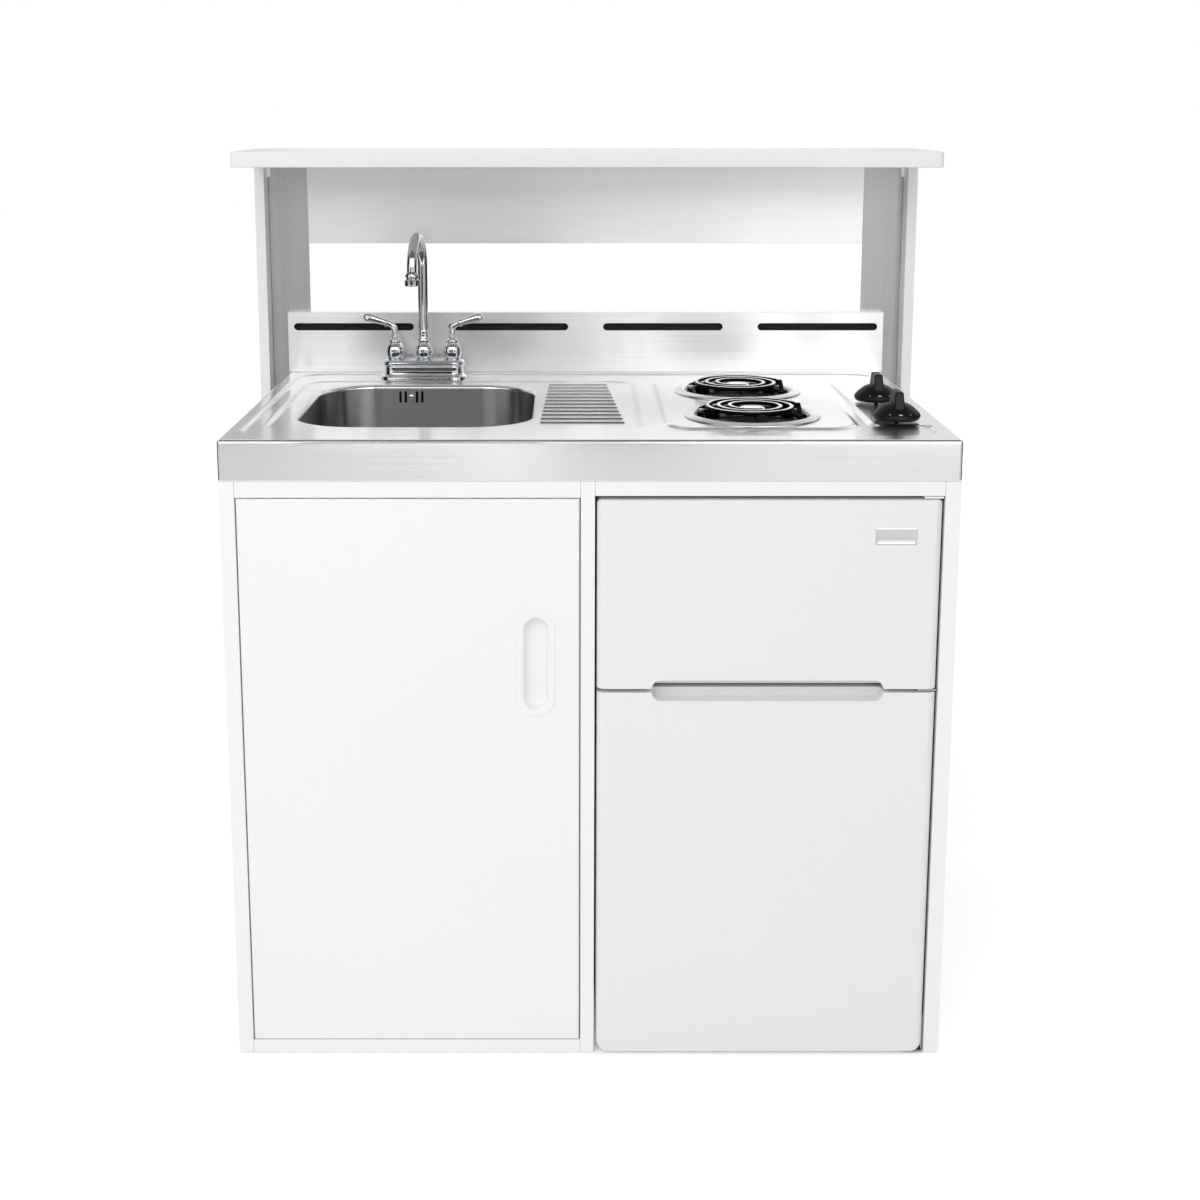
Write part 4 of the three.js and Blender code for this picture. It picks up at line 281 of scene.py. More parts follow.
# ---------------------------------------------------------------- Bowl, overflow and drain
# The bowl is drawn stainless steel, satin finished round its walls, with four overflow slots and a
# screw in its rear wall. A polished drain cup sits in its floor and holds a lift-out basket.
def hazed(name, colour, scale, smooth, rough, detail=2.0, patches=(0.0, 1.0)):
    """Bare metal whose roughness drifts in soft patches, so many to a metre, as wiping leaves it."""
    material, tree, shader = new_finish(name, metallic=1.0, base_color=linear(colour))
    place = add(tree, "ShaderNodeTexCoord").outputs["Object"]
    cloud = add(tree, "ShaderNodeTexNoise", {"Scale": scale, "Detail": detail}, {"Vector": place})
    haze = add(tree, "ShaderNodeMapRange",
               {"From Min": patches[0], "From Max": patches[1], "To Min": smooth, "To Max": rough},
               {"Value": cloud.outputs["Fac"]})
    tree.links.new(haze.outputs["Result"], shader.inputs["Roughness"])
    return material


def spun(bm, profile, x, y, z, steps=48):
    """Spins a run of (radius, height) points round an upright axis."""
    verts = [bm.verts.new(((x + r) * MM, y * MM, (z + h) * MM)) for r, h in profile]
    edges = [bm.edges.new(pair) for pair in zip(verts, verts[1:])]
    bmesh.ops.spin(bm, geom=verts + edges, cent=(x * MM, y * MM, 0), axis=(0, 0, 1), angle=2 * math.pi,
                   steps=steps, use_merge=True)


def prism(bm, points, z0, z1):
    """A closed block with the outline's shape from one height to another."""
    low, high = ring(bm, points, z0), ring(bm, points, z1)
    skin(bm, [low, high])
    flat(bm, low)
    flat(bm, high)


def cut_away(made, cutter_mesh):
    """Takes a shape out of a piece for good, and smooths its shading afresh."""
    bmesh.ops.recalc_face_normals(cutter_mesh, faces=cutter_mesh.faces)
    mesh = bpy.data.meshes.new("cutter")
    cutter_mesh.to_mesh(mesh)
    cutter_mesh.free()
    cutter = bpy.data.objects.new("cutter", mesh)
    bpy.context.scene.collection.objects.link(cutter)
    hollow = made.modifiers.new("hollow", "BOOLEAN")
    hollow.object = cutter
    hollow.solver = "EXACT"
    made.data = bpy.data.meshes.new_from_object(made.evaluated_get(bpy.context.evaluated_depsgraph_get()))
    made.modifiers.clear()
    bpy.data.objects.remove(cutter)
    if "custom_normal" in made.data.attributes:
        made.data.attributes.remove(made.data.attributes["custom_normal"])
    made.data.set_sharp_from_angle(angle=math.radians(CREASE))
    even_out(made)


def turn_to_face_front(bm, x, z):
    """Lays shapes drawn flat in X and Y, as X and Z, upright so that their top looks to the front."""
    bmesh.ops.rotate(bm, verts=bm.verts, cent=(0, 0, 0), matrix=Matrix.Rotation(math.radians(90), 3, "X"))
    bmesh.ops.translate(bm, verts=bm.verts, vec=(x * MM, 0, z * MM))


# Satin drawing leaves the bowl softer than the top, and its darker base colour is painted shade for the deep
# bowl. Turned steel is close to a mirror.
bowl_steel_painted_shade = brushed_steel("stainless steel, satin drawn, with painted shade", "#b4b6b8", "#abadaf", (0.28, 0.31),
                            along=0, across=(0, 0, 1), pitch=1, smeared=0.9)
steel_polished = hazed("stainless steel, polished turning", "#eceded", 90.0, 0.1, 0.24)

DRAIN_X, DRAIN_Y, BOWL_FLOOR_Z = -250, -14, 728.5
BOWL_SHEET, DRAIN_HOLE = 1.0, 43
FOOT_INSET, FOOT_RADIUS = 11, 26
bm = bmesh.new()
rings = [ring(bm, outline(BOWL, inset), z) for inset, z in
         [(ROLL, SINK_Z - ROLL), (ROLL + 0.6, 855), (ROLL + 2, 810), (ROLL + 3.4, 770)]]
for degrees in range(0, 91, 10):
    turn = math.radians(degrees)
    rings.append(ring(bm, outline(BOWL, FOOT_INSET + FOOT_RADIUS * (1 - math.cos(turn))),
                      BOWL_FLOOR_Z + FOOT_RADIUS * (1 - math.sin(turn))))
rings.append(ring(bm, outline(BOWL, 40), BOWL_FLOOR_Z))
skin(bm, rings)
flat(bm, rings[-1], ring(bm, circle(DRAIN_X, DRAIN_Y, DRAIN_HOLE), BOWL_FLOOR_Z))
bowl = upward_sheet(bm, "drawn_bowl", bowl_steel_painted_shade, BOWL_SHEET)

OVERFLOW_X, OVERFLOW_Z, REAR_WALL_Y = -282, 859, 175.2
SLOT_OFFSETS, SLOT_HALF_WIDTH, SLOT_HALF_HEIGHT = (-17.8, -9.2, 8.8, 17.5), 2, 9.5
slots = bmesh.new()
for offset in SLOT_OFFSETS:
    slot = box_corners(offset - SLOT_HALF_WIDTH, offset + SLOT_HALF_WIDTH, -SLOT_HALF_HEIGHT, SLOT_HALF_HEIGHT,
                       SLOT_HALF_WIDTH - 0.1)
    prism(slots, outline(slot, 0, 5), -185, -168)
turn_to_face_front(slots, OVERFLOW_X, OVERFLOW_Z)
cut_away(bowl, slots)
fit(bowl, "base", "stainless", "sink_bowl")

SCREW_HEAD = [(0, 1.6), (2.2, 1.5), (3.8, 0.9), (4.4, 0), (4.4, -1.5), (0, -1.5)]
SCREW_SLIT = (6, 0.9, 0.6)
bm = bmesh.new()
spun(bm, SCREW_HEAD, 0, 0, 0, 24)
slit = bmesh.ops.create_cube(bm, size=1)["verts"]
bmesh.ops.scale(bm, verts=slit, vec=[side * MM for side in SCREW_SLIT])
bmesh.ops.translate(bm, verts=slit, vec=(0, 0, 1.5 * MM))
bmesh.ops.translate(bm, verts=bm.verts, vec=(0, 0, -REAR_WALL_Y * MM))
turn_to_face_front(bm, OVERFLOW_X, OVERFLOW_Z)
fit(to_piece(bm, "overflow_screw", steel_polished), "base", "stainless")

DRAIN_WALL = [(54, 0.1), (54, 1.1), (53.2, 1.9), (51, 2.2), (46, 2.1), (40.5, 1.6), (37.6, 0.6), (36.4, -1.2),
              (36, -4), (36, -34), (34, -37.5), (21.5, -42), (20, -44), (20, -76), (22, -76), (22, -44),
              (36, -39.5), (38, -36), (38, -0.4), (54, 0.1)]
bm = bmesh.new()
spun(bm, DRAIN_WALL, DRAIN_X, DRAIN_Y, BOWL_FLOOR_Z)
drain = to_piece(bm, "drain_cup", steel_polished)
even_out(drain)
fit(drain, "base", "stainless", "drain_body")

BASKET_WALL = [(0, -24), (21, -24), (22.5, -23), (35, -6.5), (35.4, -5), (35.4, -0.4), (34.8, 0),
               (34.1, -0.5), (34.1, -5), (21.6, -22), (5, -22.6), (4, -21.5), (3.8, -5), (5, -3), (8, -1.6),
               (8.4, 0.6), (6.5, 2.4), (0, 3)]
BASKET_HOLES, BASKET_HOLE_RADIUS, BASKET_HOLE_RINGS = 12, 2.4, (17, 12)
bm = bmesh.new()
spun(bm, BASKET_WALL, DRAIN_X, DRAIN_Y, BOWL_FLOOR_Z)
basket = to_piece(bm, "strainer_basket", steel_polished)
holes = bmesh.new()
for i in range(BASKET_HOLES):
    angle = 2 * math.pi * i / BASKET_HOLES
    reach = BASKET_HOLE_RINGS[i % 2]
    hole = circle(DRAIN_X + reach * math.cos(angle), DRAIN_Y + reach * math.sin(angle), BASKET_HOLE_RADIUS, 16)
    prism(holes, hole, BOWL_FLOOR_Z - 26, BOWL_FLOOR_Z - 19)
cut_away(basket, holes)
fit(basket, "basket", "stainless", "basket_strainer")


# ---------------------------------------------------------------- Backsplash
# A folded box of the same brushed sheet along the rear of the top, with four long vent slots, and a black
# sheet behind them that shuts out the view and is painted shade for the dark inside the splash.
COPLANAR, FOLDED = math.radians(1), math.radians(31)


def mottled(name, dark, light, scale, **surface):
    """A finish whose colour drifts between two close tones, in so many patches to a metre."""
    material, tree, shader = new_finish(name, **surface)
    place = add(tree, "ShaderNodeTexCoord").outputs["Object"]
    patches = add(tree, "ShaderNodeTexNoise", {"Scale": scale}, {"Vector": place})
    tone = add(tree, "ShaderNodeMix", {"data_type": "RGBA", 6: linear(dark), 7: linear(light)},
               {0: patches.outputs["Fac"]})
    tree.links.new(tone.outputs[2], shader.inputs["Base Color"])
    return material


def softened(node, name, material, width=0.6, segments=2):
    """A merged copy of a folded or sawn CAD piece with its sharp edges eased by so many millimetres."""
    bm = bmesh.new()
    bm.from_mesh(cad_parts[node].data)
    bmesh.ops.remove_doubles(bm, verts=bm.verts, dist=SAME_POINT)
    bmesh.ops.dissolve_limit(bm, angle_limit=COPLANAR, verts=bm.verts, edges=bm.edges)
    folds = [edge for edge in bm.edges if len(edge.link_faces) == 2 and edge.calc_face_angle() > FOLDED]
    bmesh.ops.bevel(bm, geom=folds, offset=width * MM, affect="EDGES", segments=segments, profile=0.5,
                    material=-1, clamp_overlap=True)
    made = to_piece(bm, name, material)
    even_out(made)
    return made


def paint(node, material):
    """Gives a CAD node that is shown as it is a better material."""
    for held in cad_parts[node].material_slots:
        held.material = material


# A coarser grit spreads what the splash mirrors. The near-black sheet behind its slots is painted shade,
# standing in for the dark inside the splash.
steel_splash = brushed_steel("stainless sheet, coarse brushed", "#f6f6f7", "#ebecec", (0.32, 0.38),
                             along=0, across=(0, 1, 1))
slot_shade_sheet = mottled("black sheet, painted shade behind the slots", "#0b0b0c", "#17181a", 60.0, roughness=0.7)
fit(softened("backsplash", "backsplash_box", steel_splash, 0.9, 3), "base", "stainless", "backsplash")
# Painted shade: the baffle behind the vent slots is near black so that the slots read dark.
paint("backsplash_baffle", slot_shade_sheet)


# ---------------------------------------------------------------- Tap
# Chromed brass: a stadium-shaped base with a waist, two urn bonnets, levers that lean outwards, and a
# tall gooseneck spout that ends in a stepped outlet. Polishing leaves it almost a mirror.
def flow(points, per_span=4):
    """More points on a smooth run through those given."""
    ends = [points[0], *points, points[-1]]
    run = []
    for a, b, c, d in zip(ends, ends[1:], ends[2:], ends[3:]):
        for i in range(per_span):
            t = i / per_span
            run.append(tuple(0.5 * (2 * q + (r - p) * t + (2 * p - 5 * q + 4 * r - s) * t * t
                                    + (3 * q - p - 3 * r + s) * t ** 3) for p, q, r, s in zip(a, b, c, d)))
    return run + [tuple(points[-1])]


def rod_along(points, roundness=10):
    """A round bar through (x, y, z, radius) points, with its ends closed, as a mesh."""
    curve = bpy.data.curves.new("bar", "CURVE")
    curve.dimensions = "3D"
    curve.bevel_depth = MM
    curve.bevel_resolution = roundness
    curve.use_fill_caps = True
    line = curve.splines.new("POLY")
    line.points.add(len(points) - 1)
    for point, (x, y, z, radius) in zip(line.points, points):
        point.co = (x * MM, y * MM, z * MM, 1)
        point.radius = radius
    holder = bpy.data.objects.new("bar", curve)
    bpy.context.scene.collection.objects.link(holder)
    mesh = bpy.data.meshes.new_from_object(holder.evaluated_get(bpy.context.evaluated_depsgraph_get()))
    bpy.data.objects.remove(holder)
    bm = bmesh.new()
    bm.from_mesh(mesh)
    return bm


chrome = hazed("chrome plate, polished", "#dcdee0", 45.0, 0.03, 0.09, detail=3.0, patches=(0.4, 0.75))

TAP_Z = 881.3
TAP_TOP = TAP_Z + 32
TAP_BASE = box_corners(TAP_X - 71, TAP_X + 71, TAP_Y - 25, TAP_Y + 25, 24.9)
TAP_FLANK = [(0, 0), (0, 2.6), (1.2, 4.6), (4.2, 6.6), (6, 9.5), (6.6, 15), (6, 20.5), (4.3, 23.5),
             (4.0, 26.5), (5.4, 29), (8, 31), (12, 32)]
URN = [(0, -4), (11.5, -4), (12.2, 1), (13.6, 3.4), (14.7, 8), (15, 12.5), (14.5, 17), (13.2, 21), (11, 24.4),
       (9.3, 26.4), (8.9, 28), (0, 28)]
SHANK = [(0, -59), (8.6, -59), (9.5, -58), (9.5, 3), (0, 3)]
bm = bmesh.new()
rings = [ring(bm, outline(TAP_BASE, inset, 10), TAP_Z + height) for inset, height in flow(TAP_FLANK, 3)]
skin(bm, rings)
flat(bm, rings[0])
flat(bm, rings[-1])
for side in (-1, 0, 1):
    spun(bm, flow(URN, 3), TAP_X + side * TAP_HALF_SPACING, TAP_Y, TAP_TOP, 40)
for side in (-1, 1):
    spun(bm, SHANK, TAP_X + side * TAP_HALF_SPACING, TAP_Y, TAP_Z, 24)
body = to_piece(bm, "tap_body", chrome, 50)
even_out(body)
fit(body, "base", "chrome", "faucet_body")

LEVER_Z = TAP_TOP + 28.3
LEVER_COLLAR = [(0, 0), (9, 0), (9.5, 2.6), (7.6, 4.6), (6, 6.4), (6.8, 8.6), (6.2, 10.6), (4.8, 12),
                (0, 12.4)]
LEVER_BAR = [(0, 8, 5), (0, 17, 5), (1.2, 23, 5), (5, 27.6, 5), (10, 30, 5), (11.5, 30.5, 6.6),
             (14.5, 31.4, 6.6), (16, 31.8, 5.1), (24, 34.2, 5.8), (36, 37.6, 7.2), (44, 39.6, 7.5),
             (48.4, 40.4, 5.9), (50, 40.7, 3.4), (50.6, 40.8, 0.4)]  # out, up and radius
for name, side in (("hot", -1), ("cold", 1)):
    x = TAP_X + side * TAP_HALF_SPACING
    bm = rod_along(flow([(x + side * out, TAP_Y, LEVER_Z + up, radius) for out, up, radius in LEVER_BAR], 3))
    spun(bm, flow(LEVER_COLLAR, 3), x, TAP_Y, LEVER_Z, 32)
    fit(to_piece(bm, f"tap_lever_{name}", chrome, 50), f"lever_{name}", "chrome", f"lever_{name}")

SPOUT_RADIUS, SPOUT_BEND, SPOUT_BEND_Z = 7.8, 51, 1064.2
SPOUT_TURN = Matrix.Rotation(math.radians(-4.7), 3, "Z")


def seat_on_tap(bm):
    """Turns a spout part, drawn pointing to the front, a little to the left and sets it on the hub."""
    bmesh.ops.rotate(bm, verts=bm.verts, cent=(0, 0, 0), matrix=SPOUT_TURN)
    bmesh.ops.translate(bm, verts=bm.verts, vec=(TAP_X * MM, TAP_Y * MM, 0))


SPOUT_FOOT = [(0, 0), (8.6, 0), (10.2, 2.4), (9.6, 5), (8.4, 8), (8.1, 14), (8.4, 17), (7.9, 18.4), (7.6, 20)]
neck = [(0, 0, LEVER_Z + 4, SPOUT_RADIUS), (0, 0, SPOUT_BEND_Z, SPOUT_RADIUS)]
for degrees in range(6, 181, 6):
    turn = math.radians(degrees)
    neck.append((0, -SPOUT_BEND + SPOUT_BEND * math.cos(turn), SPOUT_BEND_Z + SPOUT_BEND * math.sin(turn),
                 SPOUT_RADIUS))
bm = rod_along(neck, 14)
spun(bm, flow(SPOUT_FOOT, 3), 0, 0, LEVER_Z, 32)
seat_on_tap(bm)
fit(to_piece(bm, "gooseneck", chrome, 50), "spout", "chrome", "spout")

OUTLET = [(0, -0.3), (8.1, -0.3), (8.6, -0.9), (9.8, -4.2), (10.4, -5.4), (10.4, -8), (9.2, -8.8),
          (9.2, -10.6), (10.9, -12), (11.5, -13), (11.5, -20.6), (10.9, -22), (9.6, -22), (9.6, -19), (0, -19)]
bm = bmesh.new()
spun(bm, OUTLET, 0, -2 * SPOUT_BEND, SPOUT_BEND_Z, 40)
seat_on_tap(bm)
outlet = to_piece(bm, "spout_outlet", chrome, 30)
even_out(outlet)
fit(outlet, "spout", "chrome", "aerator")


# ---------------------------------------------------------------- Coil burners
# Each burner: a black enamelled pan, a chromed trim ring, and a tubular heating element wound flat on a
# three-armed steel support with a bright centre disc. The element's top is ground flat, and its upward faces
# carry a painted highlight.
# Fused enamel is glossy and nearly black, with fine specks in it.
enamel = mottled("vitreous enamel, black gloss", "#060607", "#101113", 300.0, roughness=0.09, coat_weight=0.5,
                 coat_roughness=0.04)

# Heat darkens the sheath. Its upward faces take a near-white painted highlight, broken up by noise, with lower
# roughness.
element, tree, shader = new_finish("nickel alloy sheath, dark, with a painted highlight on top", metallic=1.0)
place = add(tree, "ShaderNodeTexCoord")
upward = add(tree, "ShaderNodeSeparateXYZ", links={0: place.outputs["Normal"]})
highlight_breakup = add(tree, "ShaderNodeTexNoise", {"Scale": 120.0, "Detail": 3.0}, {"Vector": place.outputs["Object"]})
facing_up_with_breakup = add(tree, "ShaderNodeMath", {"operation": "MULTIPLY_ADD", 1: 0.25},
           {0: highlight_breakup.outputs["Fac"], 2: upward.outputs["Z"]})
# Painted highlight: faces turned up, broken by noise, take the near-white tone.
bright = add(tree, "ShaderNodeMapRange", {"From Min": 1.02, "From Max": 1.12}, {"Value": facing_up_with_breakup.outputs[0]})
tone = add(tree, "ShaderNodeMix", {"data_type": "RGBA", 6: linear("#1d1d1f"), 7: linear("#f2f3f5")},
           {0: bright.outputs["Result"]})
polish = add(tree, "ShaderNodeMapRange", {"To Min": 0.5, "To Max": 0.26}, {"Value": bright.outputs["Result"]})
tree.links.new(tone.outputs[2], shader.inputs["Base Color"])
tree.links.new(polish.outputs["Result"], shader.inputs["Roughness"])

# Zinc plate has a dull grey bloom in 6 mm spangles.
zinc, tree, shader = new_finish("zinc plated steel, satin", metallic=1.0)
place = add(tree, "ShaderNodeTexCoord").outputs["Object"]
spangle = add(tree, "ShaderNodeTexVoronoi", {"Scale": 160.0}, {"Vector": place}).outputs["Distance"]
tone = add(tree, "ShaderNodeMix", {"data_type": "RGBA", 6: linear("#a3a6a8"), 7: linear("#c0c2c4")},
           {0: spangle})
bloom = add(tree, "ShaderNodeMapRange", {"To Min": 0.3, "To Max": 0.45}, {"Value": spangle})
tree.links.new(tone.outputs[2], shader.inputs["Base Color"])
tree.links.new(bloom.outputs["Result"], shader.inputs["Roughness"])

# The terminal block is chalky fired ceramic. The ring is plated over a drawn skin, so its mirror is soft, and
# the arms under the element are near black.
ceramic = mottled("steatite ceramic, unglazed", "#d9d2c3", "#e9e3d6", 400.0, roughness=0.6)
ring_chrome = hazed("chromed steel pressing", "#f8f8f8", 70.0, 0.3, 0.34)
arm_steel = hazed("steel, near black", "#1c1c1d", 200.0, 0.45, 0.65)

SHEATH = 3.4
COIL_Z = 17 - SHEATH
COIL_OUTER, COIL_INNER, COIL_TURN_STEPS = 71, 28, 48
LEAD_Y, PLUG_Z, SOCKET_X = 10, -10, 100
GROUND_TOP = RIM_Z + COIL_Z + 0.68 * SHEATH
PAN_WALL = [(92, 0.3), (92, 1.3), (79.6, 1.3), (78.6, 0.6), (78, -1.5), (75.4, -12), (73, -15.5), (60, -23),
            (56, -24), (21.5, -24), (20, -24.6), (21.5, -25), (57, -25), (61, -24), (74, -16.2),
            (76.4, -12.4), (79.4, 0.3), (92, 0.3)]
RING_WALL = [(97, 0.3), (96.9, 1.3), (96.2, 2.2), (94.4, 3), (89.5, 4.4), (87, 4.9), (85.2, 4.5), (84, 3.6),
             (82.6, 2.4), (82, 1.6), (83.2, 1.9), (85.6, 3), (90, 3), (94, 1.8), (95.8, 0.3), (97, 0.3)]
ARM_FOOT, ARM_TOP, ARM_REACH = 4.1, COIL_Z - SHEATH - 0.3, 84
ARM_SIDE = [(0, ARM_FOOT), (ARM_REACH, ARM_FOOT), (ARM_REACH, ARM_FOOT + 1.6), (74.5, ARM_TOP), (0, ARM_TOP)]
MEDALLION = [(0, ARM_FOOT + 1), (15, ARM_FOOT + 1), (18.4, ARM_TOP - 1), (19, ARM_TOP + 0.6),
             (18, ARM_TOP + 2.4), (15, ARM_TOP + 3.2), (10, ARM_TOP + 2.2), (0, ARM_TOP + 2)]


def element_line():
    """The element's way: in from its plug, round and round to the middle, and out again underneath."""
    first = math.asin(2 * LEAD_Y / COIL_OUTER)
    whole = 5.5 * math.pi - first
    steps = round(whole / (2 * math.pi) * COIL_TURN_STEPS)
    turns = []
    for i in range(steps + 1):
        angle = first + whole * i / steps
        radius = COIL_OUTER + (COIL_INNER - COIL_OUTER) * i / steps
        turns.append((radius * math.cos(angle), radius * math.sin(angle), COIL_Z))
    under = COIL_Z - 2 * SHEATH - 1.6
    outer_lead = [(SOCKET_X + 12, LEAD_Y, PLUG_Z), (SOCKET_X - 6, LEAD_Y, PLUG_Z),
                  (SOCKET_X - 20, LEAD_Y, PLUG_Z), (COIL_OUTER + 1.3, LEAD_Y, PLUG_Z + 3.5),
                  (COIL_OUTER - 1, LEAD_Y + 1, PLUG_Z + 11), (COIL_OUTER - 1.8, LEAD_Y + 4.5, COIL_Z - 4)]
    inner_lead = [(8, -COIL_INNER + 0.8, COIL_Z - 1), (18, -COIL_INNER + 6, COIL_Z - 5.6),
                  (28, -LEAD_Y - 4, under + 0.4), (40, -LEAD_Y, under), (56, -LEAD_Y, under - 0.6),
                  (66, -LEAD_Y, under - 5), (SOCKET_X - 25, -LEAD_Y, PLUG_Z + 2.5),
                  (SOCKET_X - 16, -LEAD_Y, PLUG_Z), (SOCKET_X + 12, -LEAD_Y, PLUG_Z)]
    return flow(outer_lead, 5)[:-1] + turns + flow(inner_lead, 5)


for name, (x, y) in BURNERS.items():
    bm = bmesh.new()
    spun(bm, PAN_WALL, x, y, RIM_Z, 72)
    pan = to_piece(bm, f"enamel_pan_{name}", enamel)
    notch = bmesh.new()
    prism(notch, outline(box_corners(x + 59, x + 88, y - 17, y + 17, 6), 0, 4), RIM_Z - 20, RIM_Z)
    cut_away(pan, notch)
    fit(pan, "base", "black_enamel", f"drip_pan_{name}")

    bm = bmesh.new()
    spun(bm, flow(RING_WALL, 3), x, y, RIM_Z, 96)
    fit(to_piece(bm, f"chrome_ring_{name}", ring_chrome, 60), "base", "chrome", f"trim_ring_{name}")

    bm = rod_along([(x + px, y + py, RIM_Z + pz, SHEATH) for px, py, pz in element_line()], 6)
    bmesh.ops.remove_doubles(bm, verts=bm.verts, dist=SAME_POINT)
    for vert in bm.verts:
        vert.co.z = min(vert.co.z, GROUND_TOP * MM)
    fit(to_piece(bm, f"element_{name}", element, 20), f"coil_{name}", "element", f"coil_{name}")

    bm = bmesh.new()
    for degrees in (30, 150, 270):
        others = set(bm.verts)
        prism(bm, ARM_SIDE, -1, 1)
        arm = [vert for vert in bm.verts if vert not in others]
        upright = Matrix.Rotation(math.radians(90), 3, "X")
        around = Matrix.Rotation(math.radians(degrees), 3, "Z")
        bmesh.ops.rotate(bm, verts=arm, cent=(0, 0, 0), matrix=upright)
        bmesh.ops.rotate(bm, verts=arm, cent=(0, 0, 0), matrix=around)
    bmesh.ops.translate(bm, verts=bm.verts, vec=(x * MM, y * MM, RIM_Z * MM))
    fit(to_piece(bm, f"element_arms_{name}", arm_steel), f"coil_{name}", "zinc", f"coil_support_{name}")
    bm = bmesh.new()
    spun(bm, flow(MEDALLION, 3), x, y, RIM_Z, 48)
    fit(to_piece(bm, f"element_medallion_{name}", steel_polished), f"coil_{name}", "zinc")

    fit(softened(f"receptacle_{name}", f"terminal_block_{name}", ceramic, 0.8), "base", "ceramic",
        f"receptacle_{name}")

fit(softened("burner_box", "burner_tray", zinc, 0.4), "base", "zinc", "burner_box")


# ---------------------------------------------------------------- Knobs and their switches
# Moulded black ABS with a fine satin texture: a shallow dome with an upright grip bar across it, and
# white pad-printed marks. Each stands clear of the steel on its switch's shaft.
abs_black, tree, shader = new_finish("ABS, moulded black satin", roughness=0.42, specular_ior_level=0.3)
place = add(tree, "ShaderNodeTexCoord").outputs["Object"]
texture = add(tree, "ShaderNodeTexNoise", {"Scale": 1400.0, "Detail": 2.0}, {"Vector": place}).outputs["Fac"]
tone = add(tree, "ShaderNodeMix", {"data_type": "RGBA", 6: linear("#060606"), 7: linear("#0f0f10")},
           {0: texture})
bump = add(tree, "ShaderNodeBump", {"Strength": 0.2, "Distance": 0.0001}, {"Height": texture})
tree.links.new(tone.outputs[2], shader.inputs["Base Color"])
tree.links.new(bump.outputs["Normal"], shader.inputs["Normal"])
white_print = mottled("pad print ink, white", "#d8d8d6", "#f2f2f0", 900.0, roughness=0.5)

KNOB_LOW, KNOB_HIGH = 4, 28
DOME = [(0, KNOB_LOW + 1), (28, KNOB_LOW), (30.4, KNOB_LOW + 0.5), (32.4, KNOB_LOW + 3), (33, KNOB_LOW + 5.6),
        (31.6, KNOB_LOW + 8.6), (27, KNOB_LOW + 13.6), (19, KNOB_LOW + 20), (10, KNOB_LOW + 23.4),
        (0, KNOB_HIGH)]
GRIP_LOW, GRIP_TOP, GRIP_WIDTH, GRIP_LENGTH, GRIP_EDGE = 19, 44, 15, 48, 2.6
GRIP_TAPER_X, GRIP_TAPER_Y = 0.8, 0.72
MARKS = ((-118, 1.1), (-90, 4.6), (-62, 1.1))  # degrees round the knob, and width
MARK_HEIGHT, MARK_LEAN = 1.2, 55
for name, (x, y) in KNOBS.items():
    bm = bmesh.new()
    spun(bm, flow(DOME, 3), x, y, RIM_Z, 64)
    bar = bmesh.ops.create_cube(bm, size=1)["verts"]
    bmesh.ops.scale(bm, verts=bar, vec=(GRIP_WIDTH * MM, GRIP_LENGTH * MM, (GRIP_TOP - GRIP_LOW) * MM))
    bmesh.ops.translate(bm, verts=bar, vec=(x * MM, y * MM, (RIM_Z + (GRIP_TOP + GRIP_LOW) / 2) * MM))
    for vert in bar:
        if vert.co.z > (RIM_Z + GRIP_TOP - 1) * MM:
            vert.co.x = x * MM + (vert.co.x - x * MM) * GRIP_TAPER_X
            vert.co.y = y * MM + (vert.co.y - y * MM) * GRIP_TAPER_Y
    bar_edges = [edge for edge in bm.edges if edge.verts[0] in bar and edge.verts[1] in bar]
    bmesh.ops.bevel(bm, geom=bar_edges, offset=GRIP_EDGE * MM, affect="EDGES", segments=4, profile=0.5,
                    material=-1)
    knob = to_piece(bm, f"black_knob_{name}", abs_black, 40)
    even_out(knob)
    fit(knob, f"knob_{name}", "black_plastic", f"knob_{name}")
    bm = bmesh.new()
    for degrees, wide in MARKS:
        mark = bmesh.ops.create_grid(bm, x_segments=4, y_segments=1, size=0.5)["verts"]
        bmesh.ops.scale(bm, verts=mark, vec=(wide * MM, MARK_HEIGHT * MM, 1))
        lean = Matrix.Rotation(math.radians(MARK_LEAN), 4, "X")
        seat = Matrix.Translation((0, -30.75 * MM, (RIM_Z + KNOB_LOW + 10) * MM))
        around = Matrix.Rotation(math.radians(degrees + 90), 4, "Z")
        bmesh.ops.transform(bm, verts=mark, matrix=around @ seat @ lean)
    bmesh.ops.translate(bm, verts=bm.verts, vec=(x * MM, y * MM, 0))
    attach(to_piece(bm, f"knob_marks_{name}", white_print), f"knob_{name}")
    paint(f"switch_{name}", abs_black)


# ---------------------------------------------------------------- Cabinet
# Folded mild steel sheet, spot welded and powder coated white. The coat is satin, with a very fine
# orange peel of 2 mm, and its folds catch a thin line of light.
powder_coat, tree, shader = new_finish("powder coat on steel, satin white", roughness=0.42)
place = add(tree, "ShaderNodeTexCoord").outputs["Object"]
peel = add(tree, "ShaderNodeTexNoise", {"Scale": 420.0, "Detail": 2.0}, {"Vector": place})
tint = add(tree, "ShaderNodeTexNoise", {"Scale": 2.2, "Detail": 1.0}, {"Vector": place})
tone = add(tree, "ShaderNodeMix", {"data_type": "RGBA", 6: linear("#f3f3f3"), 7: linear("#f7f7f7")},
           {0: tint.outputs["Fac"]})
bump = add(tree, "ShaderNodeBump", {"Strength": 0.18, "Distance": 0.0002}, {"Height": peel.outputs["Fac"]})
tree.links.new(tone.outputs[2], shader.inputs["Base Color"])
tree.links.new(bump.outputs["Normal"], shader.inputs["Normal"])
for node in ("cabinet_left_side", "cabinet_right_side", "cabinet_divider", "cabinet_floor",
             "cupboard_top_rail", "bay_top_rail", "cabinet_back"):
    fit(softened(node, f"{node}_sheet", powder_coat, 0.5), "base", "white_steel", node)


